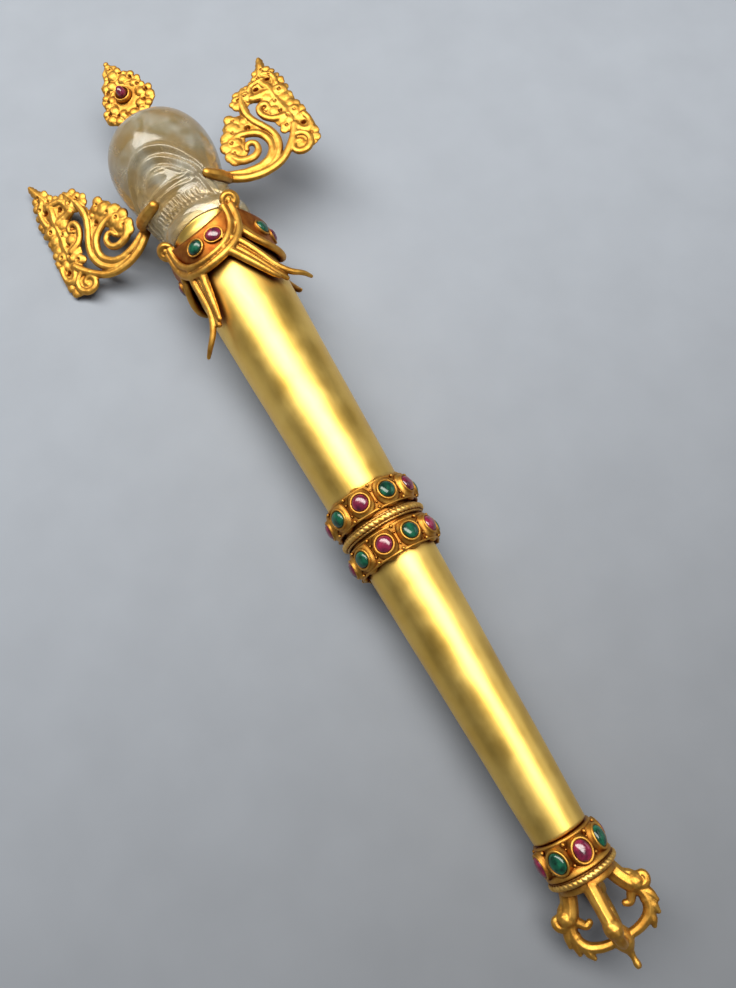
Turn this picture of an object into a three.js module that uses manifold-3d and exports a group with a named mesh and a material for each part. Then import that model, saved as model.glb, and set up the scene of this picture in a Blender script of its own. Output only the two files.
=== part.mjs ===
// A ceremonial sceptre: a tapering sheet-gold shaft with a carved rock-crystal skull on top, two
// pierced scroll ears, a flame crest, a swag collar set with stones, gem bands and a half-vajra foot.
// Millimetres. The staff is modelled upright, foot at height 0, its front towards -Y and its own
// right towards +X, and is then laid down as it rests on a table, with its head towards -X.
import * as THREE from 'three';
import { mergeVertices } from 'three/addons/utils/BufferGeometryUtils.js';
import { ConvexHull } from 'three/addons/math/ConvexHull.js';
import Module from 'manifold-3d';

const wasm = await Module();
wasm.setup();

// Gap that separate pieces keep where they touch
const SEAT_GAP = 0.3;
const SHAFT_SIDES = 32;

// Half-vajra foot
const SPIKE_TIP_RADIUS = 0.7;
const SPIKE_RADIUS = 1.7;
const KNOT_RADIUS = 3.1;
const KNOT_HEIGHT = 9.5;
const PRONG_ROOT_RADIUS = 7.6;
const PRONG_REACH = 14.6;
const PRONG_THICKNESS = 3.4;
const HUB_THICKNESS = 2.2;
const HUB_HEIGHT = 27;

// Foot band and its rope ring
const FOOT_ROPE_THICKNESS = 2.4;
const FOOT_ROPE_RADIUS = 11.6;
const FOOT_ROPE_TWISTS = 16;
const FOOT_BAND_LENGTH = 10.4;
const FOOT_BAND_RADIUS = 9.9;
const FOOT_GEMS = 8;
const FOOT_GEM_LENGTH = 6.4;
const FOOT_GEM_WIDTH = 5.2;
const FOOT_GEM_TURN = 20;

// Shaft, in two tapering tubes that meet under the middle rope ring
const SHAFT_FOOT_RADIUS = 9.1;
const SHAFT_JOINT_RADIUS = 13.05;
const SHAFT_TOP_RADIUS = 17.2;
const LOWER_SHAFT_LENGTH = 109.4;
const UPPER_SHAFT_LENGTH = 124;

// Middle rope ring and the two gem bands beside it
const ROPE_THICKNESS = 3.6;
const ROPE_RADIUS = 15.7;
const ROPE_TWISTS = 20;
const BAND_LENGTH = 11.4;
const BAND_WALL = 1.3;
const BAND_GEMS = 10;
const BAND_GEM_SIZE = 5.5;
const BAND_TURN = -3.4;
const BEZEL_HEIGHT = 0.8;
const BEZEL_RIM = 0.6;
const GEM_HEIGHT = 1.5;

// Swag collar
const COLLAR_WALL = 1.2;
const COLLAR_TURN = -10;
const SWAG_COUNT = 4;
const SWAG_HALF_ANGLE = 50;
const SWAG_DROP = 23.2;
const SWAG_RIB_SPACING = 3.6;
const RIB_RADIUS = 1.35;
const OVERLAP_LIFT = 0.7;
const VOLUTE_RADIUS = 3.6;
const TAIL_FLARE = 24.4;
const RIGHT_TAIL_DROP = 18;
const LEFT_TAIL_DROP = 27;
const SWAG_GEM_LENGTH = 5.8;
const SWAG_GEM_WIDTH = 4.8;
const SWAG_GEM_SPREAD = 12;
const FRONT_GEM_TURN = 4.5;

// Neck cup, crystal skull, crest and ears. The head sits a little to the left of the shaft.
const CUP_HEIGHT = 6.6;
const CUP_RADIUS = 15.7;
const HEAD_OFFSET = -2.4;
const SKULL_HEIGHT = 58;
const SKULL_RADIUS = 21.2;
const EAR_HINGE = 13.6;
const LEFT_EAR_HEIGHT = 51;
const RIGHT_EAR_HEIGHT = 46;
const EAR_THICKNESS = 3;
const EAR_SWEEP = 9;
const CREST_HEIGHT = 40;
const CREST_HALF_WIDTH = 11.6;
const CREST_THICKNESS = 2.6;
const CREST_RUBY_SIZE = 5;

// Heights of the joints between pieces, worked out upwards from the foot
const hubTop = HUB_HEIGHT + HUB_THICKNESS;
const footRopeBottom = hubTop + SEAT_GAP;
const footBandBottom = footRopeBottom + FOOT_ROPE_THICKNESS + SEAT_GAP;
const lowerShaftBottom = footBandBottom + FOOT_BAND_LENGTH + SEAT_GAP;
const lowerShaftTop = lowerShaftBottom + LOWER_SHAFT_LENGTH;
const upperShaftBottom = lowerShaftTop + SEAT_GAP;
const upperShaftTop = upperShaftBottom + UPPER_SHAFT_LENGTH;
const cupBottom = upperShaftTop + SEAT_GAP;
const skullBottom = cupBottom + CUP_HEIGHT + SEAT_GAP;
const skullTop = skullBottom + SKULL_HEIGHT;
const ropeMiddle = (lowerShaftTop + upperShaftBottom) / 2;

const GOLD_SHEET = { color: 0xd8ab3e, roughness: 0.28, metalness: 1 };
const GOLD_CAST = { color: 0xd39a2a, roughness: 0.38, metalness: 1 };
const CRYSTAL = { color: 0xc9c2a8, roughness: 0.12, metalness: 0 };
const RUBY = { color: 0x8e1b3c, roughness: 0.15, metalness: 0 };
const EMERALD = { color: 0x1f6b55, roughness: 0.15, metalness: 0 };

// Small helpers

const rad = THREE.MathUtils.degToRad;
const lerp = THREE.MathUtils.lerp;
const smoothstep = THREE.MathUtils.smoothstep;

function toSolid(geometry) {
  const bare = geometry.index ? geometry : mergeVertices(geometry);
  bare.deleteAttribute('normal');
  bare.deleteAttribute('uv');
  const merged = mergeVertices(bare, 1e-4);
  return new wasm.Manifold(new wasm.Mesh({
    numProp: 3,
    vertProperties: new Float32Array(merged.attributes.position.array),
    triVerts: new Uint32Array(merged.index.array),
  }));
}

function toGeometry(solid) {
  const mesh = solid.getMesh();
  const geometry = new THREE.BufferGeometry();
  geometry.setAttribute('position', new THREE.BufferAttribute(mesh.vertProperties, 3));
  geometry.setIndex(new THREE.BufferAttribute(mesh.triVerts, 1));
  return geometry;
}

function joined(geometries) {
  return geometries.map(toSolid).reduce((whole, next) => whole.add(next));
}

function named(name, geometry, look) {
  const mesh = new THREE.Mesh(geometry, new THREE.MeshStandardMaterial(look));
  mesh.name = name;
  return mesh;
}

// A turned solid about the staff's axis, from [radius, height] corners that start and end on it
function turned(corners, sides) {
  const points = corners.map(([radius, height]) => new THREE.Vector2(radius, height));
  return new THREE.LatheGeometry(points, sides).rotateX(Math.PI / 2);
}

// A point at an angle from the front, positive towards the staff's right
function around(radius, degrees, height) {
  return new THREE.Vector3(radius * Math.sin(rad(degrees)), -radius * Math.cos(rad(degrees)), height);
}

function outwardFromAxis(point) {
  return new THREE.Vector3(point.x, point.y, 0).normalize();
}

// A bar with closed ends that follows a curve. halfWidth lies across the curve and halfDepth along
// the direction that `outward` gives for each point. A square bar with 4 sides has flat faces.
function bar(curve, { outward, halfWidth, halfDepth, steps = 10, sides = 6, square = false }) {
  const corner = square ? Math.SQRT2 : 1;
  const start = square ? Math.PI / 4 : 0;
  const geometry = new THREE.CylinderGeometry(corner, corner, 1, sides, steps, false, start);
  const position = geometry.attributes.position;
  for (let i = 0; i < position.count; i += 1) {
    const along = THREE.MathUtils.clamp(position.getY(i) + 0.5, 0, 1);
    const centre = curve.getPointAt(along);
    const tangent = curve.getTangentAt(along);
    const deep = outward(centre).clone().addScaledVector(tangent, -outward(centre).dot(tangent));
    deep.normalize();
    const wide = new THREE.Vector3().crossVectors(tangent, deep);
    centre.addScaledVector(wide, position.getX(i) * halfWidth(along));
    centre.addScaledVector(deep, position.getZ(i) * halfDepth(along));
    position.setXYZ(i, centre.x, centre.y, centre.z);
  }
  return geometry;
}

function smoothCurve(points) {
  return new THREE.CatmullRomCurve3(points, false, 'centripetal');
}

// A width that swells from one end value to another, with a soft start
function taper(from, to) {
  return (along) => lerp(from, to, smoothstep(along, 0, 1));
}

// A low dome, flat below, that a stone or a boss is made of; its base is at height 0
function dome(halfLength, halfWidth, height, sides) {
  const corners = [[0, 0], [1, 0], [0.72, 0.72], [0, 1]];
  return turned(corners, sides).scale(halfLength, halfWidth, height);
}

// Shaft radii at any height on the staff
const lowerTaper = (SHAFT_JOINT_RADIUS - SHAFT_FOOT_RADIUS) / LOWER_SHAFT_LENGTH;
const upperTaper = (SHAFT_TOP_RADIUS - SHAFT_JOINT_RADIUS) / UPPER_SHAFT_LENGTH;
const shaftRadiusAt = (height) => (height < upperShaftBottom
  ? SHAFT_FOOT_RADIUS + (height - lowerShaftBottom) * lowerTaper
  : SHAFT_JOINT_RADIUS + (height - upperShaftBottom) * upperTaper);

// Half-vajra: four makara prongs around a spike, cast with the hub in one piece

function prong(degrees) {
  const place = (radius, height) => around(radius, degrees, height);
  const side = new THREE.Vector3(Math.cos(rad(degrees)), Math.sin(rad(degrees)), 0);
  const half = PRONG_THICKNESS / 2;
  const head = lerp(KNOT_HEIGHT, HUB_HEIGHT, 0.52);
  const limb = (spots, wide, deep, steps, sides) => bar(
    smoothCurve(spots.map(([radius, height]) => place(radius, height))),
    { outward: () => side, halfWidth: wide, halfDepth: deep, steps, sides },
  );
  const spur = (radius, height) => limb(
    [[radius - 2.4, height + 1.4], [radius, height], [radius + 1.4, height - 2.4]],
    taper(half * 0.7, 0.4), taper(half * 0.7, 0.4), 2, 3,
  );
  const trunk = [
    [PRONG_ROOT_RADIUS, hubTop - 1], [PRONG_ROOT_RADIUS + 1.6, head + 4.6], [PRONG_REACH - 4, head + 0.8],
    [PRONG_REACH - 1, head - 0.8], [PRONG_REACH + 1.2, head + 0.8], [PRONG_REACH + 0.2, head + 2.6],
  ];
  const jaw = [
    [PRONG_REACH - 4.4, head + 1.2], [PRONG_REACH - 6, head - 2.4], [PRONG_REACH - 8.2, head - 2.6],
  ];
  const bow = [
    [PRONG_REACH - 3.6, head + 1], [PRONG_REACH - 2.4, head - 3.2], [PRONG_REACH - 4.4, head - 7.4],
    [PRONG_REACH - 9, KNOT_HEIGHT + 0.2], [SPIKE_RADIUS * 0.3, KNOT_HEIGHT - 0.4],
  ];
  return [
    limb(trunk, taper(half * 1.4, 1), taper(half * 1.2, 1.1), 5, 4),
    limb(jaw, taper(1.4, 0.7), taper(1.2, 0.8), 2, 4),
    limb(bow, taper(half, 1.3), taper(half * 0.95, 1.3), 4, 4),
    spur(PRONG_REACH - 1.4, head - 4),
    spur(PRONG_REACH - 3.6, head - 7),
  ];
}

function halfVajra() {
  const shoulder = PRONG_ROOT_RADIUS + 1.8;
  const spike = turned([
    [0, 0], [SPIKE_TIP_RADIUS * 1.4, 0.8], [SPIKE_TIP_RADIUS * 1.2, 3], [SPIKE_RADIUS, KNOT_HEIGHT - 3.6],
    [KNOT_RADIUS, KNOT_HEIGHT - 1], [KNOT_RADIUS, KNOT_HEIGHT + 1.4], [SPIKE_RADIUS, KNOT_HEIGHT + 3.6],
    [SPIKE_RADIUS, HUB_HEIGHT - 3], [PRONG_ROOT_RADIUS - 3, HUB_HEIGHT], [shoulder, HUB_HEIGHT + 0.4],
    [shoulder, hubTop], [0, hubTop],
  ], 8);
  const prongs = [0, 90, 180, 270].flatMap(prong);
  return named('half_vajra', toGeometry(joined([spike, ...prongs])), GOLD_CAST);
}

// Rings, bands and stones

// A ring with a rounded outside that shows the twist of its rope as slanting ridges
function ropeRing(name, bottom, thickness, bore, radius, twists) {
  const middle = bottom + thickness / 2;
  const edge = [[bore, -0.5], [radius, -0.3], [radius, 0.3], [bore, 0.5], [bore, -0.5]];
  const profile = edge.map(([reach, share]) => new THREE.Vector2(reach, share * thickness));
  const ring = new THREE.LatheGeometry(profile, twists * 2).rotateX(Math.PI / 2);
  const position = ring.attributes.position;
  for (let i = 0; i < position.count; i += 1) {
    const x = position.getX(i);
    const y = position.getY(i);
    const reach = Math.hypot(x, y);
    const twist = Math.cos(Math.atan2(y, x) * twists + (position.getZ(i) > 0.1 ? 0 : Math.PI));
    const ridge = reach > radius - 0.8 ? 0.2 * twist : 0;
    position.setXYZ(i, x * (1 + ridge / reach), y * (1 + ridge / reach), middle + position.getZ(i));
  }
  return named(name, ring, GOLD_CAST);
}

// Turns a shape built on its base at the origin so that it stands on the staff at an angle from
// the front
function seat(geometry, radius, degrees, height) {
  return geometry.rotateX(Math.PI / 2).translate(0, -radius, height).rotateZ(rad(degrees));
}

// A gem band: a turned body with a raised setting for each stone
function gemBand(name, body, settings) {
  const raised = settings.map(({ radius, degrees, height, length, width }) => toSolid(seat(
    turned([[0, -0.8], [1, -0.8], [1, BEZEL_HEIGHT], [0, BEZEL_HEIGHT]], 8)
      .scale(length / 2 + BEZEL_RIM, width / 2 + BEZEL_RIM, 1),
    radius, degrees, height,
  )));
  return named(name, toGeometry(raised.reduce((whole, next) => whole.add(next), toSolid(body))), GOLD_CAST);
}

// A ring whose profile closes on itself
function turnedRing(corners, sides) {
  const points = [...corners, corners[0]].map(([radius, height]) => new THREE.Vector2(radius, height));
  return new THREE.LatheGeometry(points, sides).rotateX(Math.PI / 2);
}

function stones(prefix, settings) {
  return settings.map(({ radius, degrees, height, length, width, ruby }, index) => named(
    `${prefix}_${ruby ? 'ruby' : 'emerald'}_${index + 1}`,
    seat(dome(length / 2, width / 2, GEM_HEIGHT, 8), radius + BEZEL_HEIGHT + SEAT_GAP, degrees, height),
    ruby ? RUBY : EMERALD,
  ));
}

function ringOfSettings(count, firstAngle, radius, height, length, width) {
  return Array.from({ length: count }, (_, index) => ({
    radius, height, length, width, degrees: firstAngle + (index * 360) / count, ruby: index % 2 === 0,
  }));
}

// A ring of flats around the shaft, one for each stone
function middleBand(name, bottom) {
  const top = bottom + BAND_LENGTH;
  const flat = Math.cos(Math.PI / BAND_GEMS);
  const bore = (shaftRadiusAt(top) + SEAT_GAP) / flat;
  const wall = bore + BAND_WALL;
  const ring = turnedRing([[bore, bottom], [wall, bottom], [wall, top], [bore, top]], BAND_GEMS);
  const body = ring.rotateZ(Math.PI / BAND_GEMS + rad(BAND_TURN));
  const middle = (bottom + top) / 2;
  const settings = ringOfSettings(BAND_GEMS, BAND_TURN, wall * flat, middle, BAND_GEM_SIZE, BAND_GEM_SIZE);
  return { mesh: gemBand(`${name}_gem_band`, body, settings), gems: stones(name, settings) };
}

function footBand() {
  const bottom = footBandBottom;
  const top = bottom + FOOT_BAND_LENGTH;
  const sides = FOOT_GEMS * 2;
  const corners = [
    [0, bottom], [FOOT_ROPE_RADIUS - 0.6, bottom], [FOOT_BAND_RADIUS, bottom + 1.6],
    [FOOT_BAND_RADIUS, top], [0, top],
  ];
  const body = turned(corners, sides).rotateZ(Math.PI / sides + rad(FOOT_GEM_TURN));
  const settings = ringOfSettings(
    FOOT_GEMS, FOOT_GEM_TURN, FOOT_BAND_RADIUS - 0.3, bottom + 5.2, FOOT_GEM_WIDTH, FOOT_GEM_LENGTH,
  );
  return { mesh: gemBand('foot_gem_band', body, settings), gems: stones('foot', settings) };
}

// Shaft

function shaft(name, bottom, top, bottomRadius, topRadius) {
  const corners = [[0, bottom], [bottomRadius, bottom], [topRadius, top], [0, top]];
  return named(name, turned(corners, SHAFT_SIDES), GOLD_SHEET);
}

// Swag collar: four shields hung from volutes, each with a doubled rib, and pointed ribbon tails

const collarTop = skullBottom + 1.4;
const swagBottom = collarTop - 1.6 - SWAG_DROP;
// The collar's bars are straight between their stations, so they stand off by this much more
const CHORD_ROOM = 0.3;
const collarBore = SHAFT_TOP_RADIUS + SEAT_GAP + CHORD_ROOM;
const collarRadius = collarBore + COLLAR_WALL;

// Height of a swag's hem at an angle from its middle
function hemHeight(degrees, inset) {
  const share = Math.abs(degrees) / SWAG_HALF_ANGLE;
  return swagBottom + inset + (SWAG_DROP - inset) * share ** 2.6;
}

// The curved plate that carries a swag's two stones, from its hem up to a hollowed top edge
function swagShield(turn) {
  const reach = SWAG_HALF_ANGLE - 4;
  const topHeight = (degrees) => cupBottom + 1 + 5 * (degrees / SWAG_HALF_ANGLE) ** 2;
  const angleAt = (along) => lerp(-reach, reach, along);
  const middle = (degrees) => (topHeight(degrees) + hemHeight(degrees, 0)) / 2;
  const spots = Array.from({ length: 9 }, (_, index) => {
    const degrees = angleAt(index / 8);
    return around(collarBore + COLLAR_WALL / 2, turn + degrees, middle(degrees));
  });
  return bar(smoothCurve(spots), {
    outward: outwardFromAxis,
    halfWidth: (along) => Math.max(0.5, (topHeight(angleAt(along)) - hemHeight(angleAt(along), 0)) / 2),
    halfDepth: () => COLLAR_WALL / 2,
    steps: 8,
    sides: 4,
    square: true,
  });
}

function swagRibs(turn, lift, insets) {
  const ribRadius = collarBore + RIB_RADIUS + lift;
  return insets.map((inset) => {
    const spots = Array.from({ length: 9 }, (_, index) => {
      const degrees = lerp(-SWAG_HALF_ANGLE, SWAG_HALF_ANGLE, index / 8) * (1 - inset / 40);
      return around(ribRadius, turn + degrees, hemHeight(degrees, inset));
    });
    const swell = (along) => lerp(0.75, 1, Math.sin(along * Math.PI));
    return bar(smoothCurve(spots), {
      outward: outwardFromAxis,
      halfWidth: (along) => SWAG_RIB_SPACING * 0.53 * swell(along),
      halfDepth: (along) => RIB_RADIUS * swell(along),
      steps: 8,
      sides: 4,
    });
  });
}

// The floor of the groove between the two ribs of the front swag
function grooveFloor(lift) {
  const floorRadius = collarBore + (COLLAR_WALL + lift) / 2 + 0.3;
  const inset = SWAG_RIB_SPACING / 2;
  const spots = Array.from({ length: 9 }, (_, index) => {
    const degrees = lerp(-SWAG_HALF_ANGLE, SWAG_HALF_ANGLE, index / 8) * (1 - inset / 40);
    return around(floorRadius, degrees, hemHeight(degrees, inset));
  });
  return bar(smoothCurve(spots), {
    outward: outwardFromAxis,
    halfWidth: () => SWAG_RIB_SPACING * 0.45,
    halfDepth: () => (COLLAR_WALL + lift) / 2 + 0.2,
    steps: 8,
    sides: 4,
    square: true,
  });
}

// A scroll end where two swags meet
function volute(turn) {
  const disc = turned([
    [0, -1.4], [VOLUTE_RADIUS, -1.4], [VOLUTE_RADIUS, 1], [VOLUTE_RADIUS * 0.5, 0.6], [0, 1.8],
  ], 8);
  return seat(disc, collarBore + 1.5, turn, collarTop - 1.2);
}

// Two ribs side by side that run down from the front or back swag, the longer one to a point
function ribbonTail(startAngle, endAngle, reach, drop) {
  const slope = Math.sign(endAngle - startAngle);
  const run = (shift, lower, stop) => smoothCurve([0, 0.3, 0.6, 0.85, 1].map((share) => {
    const along = share * stop;
    const radius = lerp(collarBore + RIB_RADIUS, reach, smoothstep(along, 0.55, 1));
    const height = swagBottom + 5 - lower - drop * along ** 1.25;
    return around(radius, lerp(startAngle, endAngle, along) + shift * slope, height);
  }));
  const rib = (curve, steps) => bar(curve, {
    outward: outwardFromAxis,
    halfWidth: (along) => lerp(SWAG_RIB_SPACING * 0.55, 0.35, along ** 2),
    halfDepth: (along) => lerp(RIB_RADIUS, 0.35, along ** 2),
    steps,
    sides: 4,
  });
  return [rib(run(0, 0, 1), 6), rib(run(-10, 1.8, 0.72), 5)];
}

function swagGemSettings() {
  const list = [];
  for (let swag = 0; swag < SWAG_COUNT; swag += 1) {
    const middle = (swag * 360) / SWAG_COUNT + COLLAR_TURN + (swag === 0 ? FRONT_GEM_TURN : 0);
    for (const side of [-1, 1]) {
      list.push({
        radius: collarRadius - BEZEL_HEIGHT + CHORD_ROOM,
        degrees: middle + side * SWAG_GEM_SPREAD,
        height: (swagBottom + SWAG_RIB_SPACING + cupBottom) / 2 + 1,
        length: SWAG_GEM_LENGTH,
        width: SWAG_GEM_WIDTH,
        ruby: side > 0,
      });
    }
  }
  return list;
}

function swagCollar() {
  const turns = Array.from({ length: SWAG_COUNT }, (_, index) => (index * 360) / SWAG_COUNT);
  const swags = turns.flatMap((turn, index) => [
    swagShield(turn),
    ...swagRibs(turn, index % 2 === 0 ? OVERLAP_LIFT : 0, index === 0 ? [0, SWAG_RIB_SPACING] : [0]),
    volute(turn + 180 / SWAG_COUNT),
  ]);
  const flush = collarBore + RIB_RADIUS;
  const tails = [
    ...ribbonTail(36, 96, TAIL_FLARE, RIGHT_TAIL_DROP), ...ribbonTail(-31, -60, TAIL_FLARE, LEFT_TAIL_DROP),
    ...ribbonTail(150, 114, flush, RIGHT_TAIL_DROP), ...ribbonTail(-150, -114, flush, RIGHT_TAIL_DROP),
  ];
  const whole = toGeometry(joined([...swags, grooveFloor(OVERLAP_LIFT), ...tails]));
  return {
    mesh: named('swag_collar', whole.rotateZ(rad(COLLAR_TURN)), GOLD_CAST),
    gems: stones('collar', swagGemSettings()),
  };
}

// Neck cup

function neckCup() {
  const rim = cupBottom + CUP_HEIGHT;
  return named('neck_cup', turned([
    [0, cupBottom], [CUP_RADIUS - 3, cupBottom], [CUP_RADIUS - 0.6, cupBottom + 1.8],
    [CUP_RADIUS, cupBottom + 4], [CUP_RADIUS + 0.7, rim], [0, rim],
  ], 24), GOLD_SHEET);
}

// Crystal skull: shares of its radius and height, from its base moulding to the crown
const skullShape = [
  [0.77, 0], [0.81, 0.03], [0.81, 0.085], [0.77, 0.12], [0.72, 0.15], [0.74, 0.18], [0.79, 0.22],
  [0.83, 0.28], [0.85, 0.35], [0.885, 0.43], [0.95, 0.53], [0.99, 0.61], [1, 0.68], [0.98, 0.76],
  [0.91, 0.84], [0.78, 0.91], [0.55, 0.965], [0.28, 0.992],
];

// How far the skull stands to the left of the shaft's axis at a share of its height
function headLean(share) {
  return HEAD_OFFSET * smoothstep(share, 0.06, 0.2);
}

// Depth of the carved face at an angle from the front: brows, sockets, nose, cheeks and teeth
function faceRelief(degrees, share) {
  const off = Math.abs(degrees);
  const face = 1 - smoothstep(off, 62, 80);
  const socket = Math.exp(-(((off - 36) / 13) ** 2) - (((share - 0.45) / 0.055) ** 2));
  const nose = Math.exp(-((off / 11) ** 2) - (((share - 0.385) / 0.06) ** 2));
  const arch = share + off * 0.0034;
  const brow = Math.exp(-(((arch - 0.6) / 0.022) ** 2)) + 0.8 * Math.exp(-(((arch - 0.53) / 0.02) ** 2));
  const lip = Math.exp(-(((share - 0.3) / 0.018) ** 2)) * (1 - smoothstep(off, 40, 55));
  return face * (0.9 * brow + 1.6 * nose + 0.6 * lip - 2.4 * socket);
}

function crystalSkull() {
  const frontSteps = 26;
  const backSteps = 8;
  const frontHalf = 68;
  const angles = [];
  for (let i = 0; i < frontSteps; i += 1) {
    angles.push(lerp(-frontHalf, frontHalf, i / frontSteps));
  }
  for (let i = 0; i < backSteps; i += 1) {
    angles.push(lerp(frontHalf, 360 - frontHalf, i / backSteps));
  }
  const columns = angles.length;
  const profile = skullShape.map(([radius, height]) => new THREE.Vector2(radius, height));
  const outline = [new THREE.Vector2(0, 0), ...profile, new THREE.Vector2(0, 1)];
  const geometry = new THREE.LatheGeometry(outline, columns);
  const position = geometry.attributes.position;
  const rows = outline.length;
  for (let i = 0; i < position.count; i += 1) {
    const column = Math.floor(i / rows) % columns;
    const { x: radius, y: share } = outline[i % rows];
    const degrees = angles[column] > 180 ? angles[column] - 360 : angles[column];
    const tooth = share > 0.17 && share < 0.25 && Math.abs(degrees) < 46 && column % 2 === 0 ? -0.7 : 0;
    const relief = radius > 0.3 && share > 0.16 ? faceRelief(degrees, share) + tooth : 0;
    const place = around(radius * SKULL_RADIUS + relief, degrees, skullBottom + share * SKULL_HEIGHT);
    position.setXYZ(i, place.x + headLean(share), place.y, place.z);
  }
  const closed = mergeVertices(stripped(geometry), 1e-4);
  return named('crystal_skull', closed, CRYSTAL);
}

function stripped(geometry) {
  geometry.deleteAttribute('normal');
  geometry.deleteAttribute('uv');
  return geometry;
}

// The room that the skull takes, with the seat gap around it
function skullClearance() {
  const grown = skullShape.map(([radius, share]) => [
    radius * SKULL_RADIUS + SEAT_GAP + 0.1, skullBottom + share * SKULL_HEIGHT + (share > 0.7 ? SEAT_GAP : 0),
  ]);
  return toSolid(turned([[0, skullBottom - 1], ...grown, [0, skullTop + SEAT_GAP * 1.5]], 48));
}

// Scroll ears: pierced scrollwork in one flat cast plate. Places are [out from the hinge line, up
// the staff] on an ear as tall as the left one, and side is 1 for the staff's right and -1 for its left.

const earMiddle = skullBottom + 0.38 * SKULL_HEIGHT;

function scrollEar(name, side, height) {
  const stretch = height / LEFT_EAR_HEIGHT;
  const place = ([out, up]) => new THREE.Vector3(side * (EAR_HINGE + out), 0, earMiddle + up * stretch);
  const half = EAR_THICKNESS / 2;
  const through = () => new THREE.Vector3(0, -1, 0);
  const flat = (spots, from, to, steps) => bar(smoothCurve(spots.map(place)), {
    outward: through, halfWidth: taper(from, to), halfDepth: () => half * 0.7, steps, sides: 4, square: true,
  });
  const proud = half * 0.5;
  const ridge = (spots, from, to, steps) => bar(smoothCurve(spots.map((spot) => place(spot).setY(-proud))), {
    outward: through, halfWidth: taper(from, to), halfDepth: taper(half * 1.1, half), steps, sides: 4,
  });
  const curl = (out, up, radius, startAngle, sweep, from, to) => {
    const spots = [];
    for (let i = 0; i <= 5; i += 1) {
      const angle = rad(startAngle + (sweep * i) / 5);
      const reach = radius * (1 - 0.8 * (i / 5));
      spots.push([out + reach * Math.cos(angle), up + reach * Math.sin(angle)]);
    }
    return flat(spots, from, to, 6);
  };
  const lobe = ([out, up, radius]) => new THREE.CylinderGeometry(radius, radius, half * 1.4, 6)
    .translate(...place([out, up]));
  const boss = ([out, up, radius]) => new THREE.ConeGeometry(radius, half, 5)
    .rotateX(Math.PI).translate(...place([out, up]).setY(-half));
  const lower = [[1.2, 6], [3.7, -0.2], [9.4, -6.4], [17.9, -9.7], [26.5, -9.2], [32.5, -5], [38, 1.6]];
  const nested = [[6.5, -4.6], [13, -7.4], [20.5, -6.6], [25.2, -1], [25, 6], [21, 11.5], [16.5, 14]];
  const rising = [[22, -7], [29, -1.6], [29.8, 7], [28, 15], [25.6, 24], [27.4, 31]];
  const outer = [[36.4, 0.4], [41, 10], [42, 22], [40.5, 33], [40, 42], [41.4, 51]];
  const web = [
    flat(lower, 1.9, 1.9, 6), flat(nested, 1.3, 2.4, 6), flat(rising, 1.6, 3.2, 5), flat(outer, 3.4, 0.5, 5),
    curl(19, 4.6, 6.4, 150, 330, 1.5, 1.3), curl(32.6, 20, 5, -100, 330, 1.7, 1.2),
    curl(37.6, -4.4, 4.6, 95, -330, 1.9, 1.3),
    ...[
      [11.4, 4, 3.3], [11, 9.6, 3.3], [14, 15, 3.4], [17.2, 19.4, 3.8], [22.8, 28.4, 2.9],
      [27.4, 34, 3.2], [31.4, 28.4, 3.8], [35, 37.6, 3.2], [39, 35.4, 3.4], [38.4, 26.6, 3.8],
      [42.4, 33, 2.6], [38, 14.6, 3.6], [43.2, 18, 2.6], [35.8, 8, 3], [44, 10, 2.6], [42, 1, 3.6],
      [43.2, -3, 2.8],
    ].map(lobe),
  ];
  const relief = [
    ridge(lower, 1.7, 1.5, 6), ridge(nested, 1, 1.6, 6), ridge(rising, 1.2, 1.8, 5),
    ...[[19, 4.6, 2], [32.6, 20, 2], [37.6, -4.4, 2.2], [41.4, 25.4, 2.6]].map(boss),
  ];
  const plate = toSolid(toGeometry(joined(web)));
  const whole = toGeometry(joined([toGeometry(plate), ...relief]));
  const hinge = side * EAR_HINGE;
  const swept = whole.translate(-hinge, 0, 0).rotateZ(rad(side * EAR_SWEEP)).translate(hinge, 0, 0);
  return named(name, toGeometry(toSolid(swept).subtract(skullClearance())), GOLD_CAST);
}

// Flame crest on the crown, with a round setting for one ruby

const crestFoot = skullTop + SEAT_GAP;
const crestRubyHeight = crestFoot + CREST_HEIGHT * 0.48;

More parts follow.
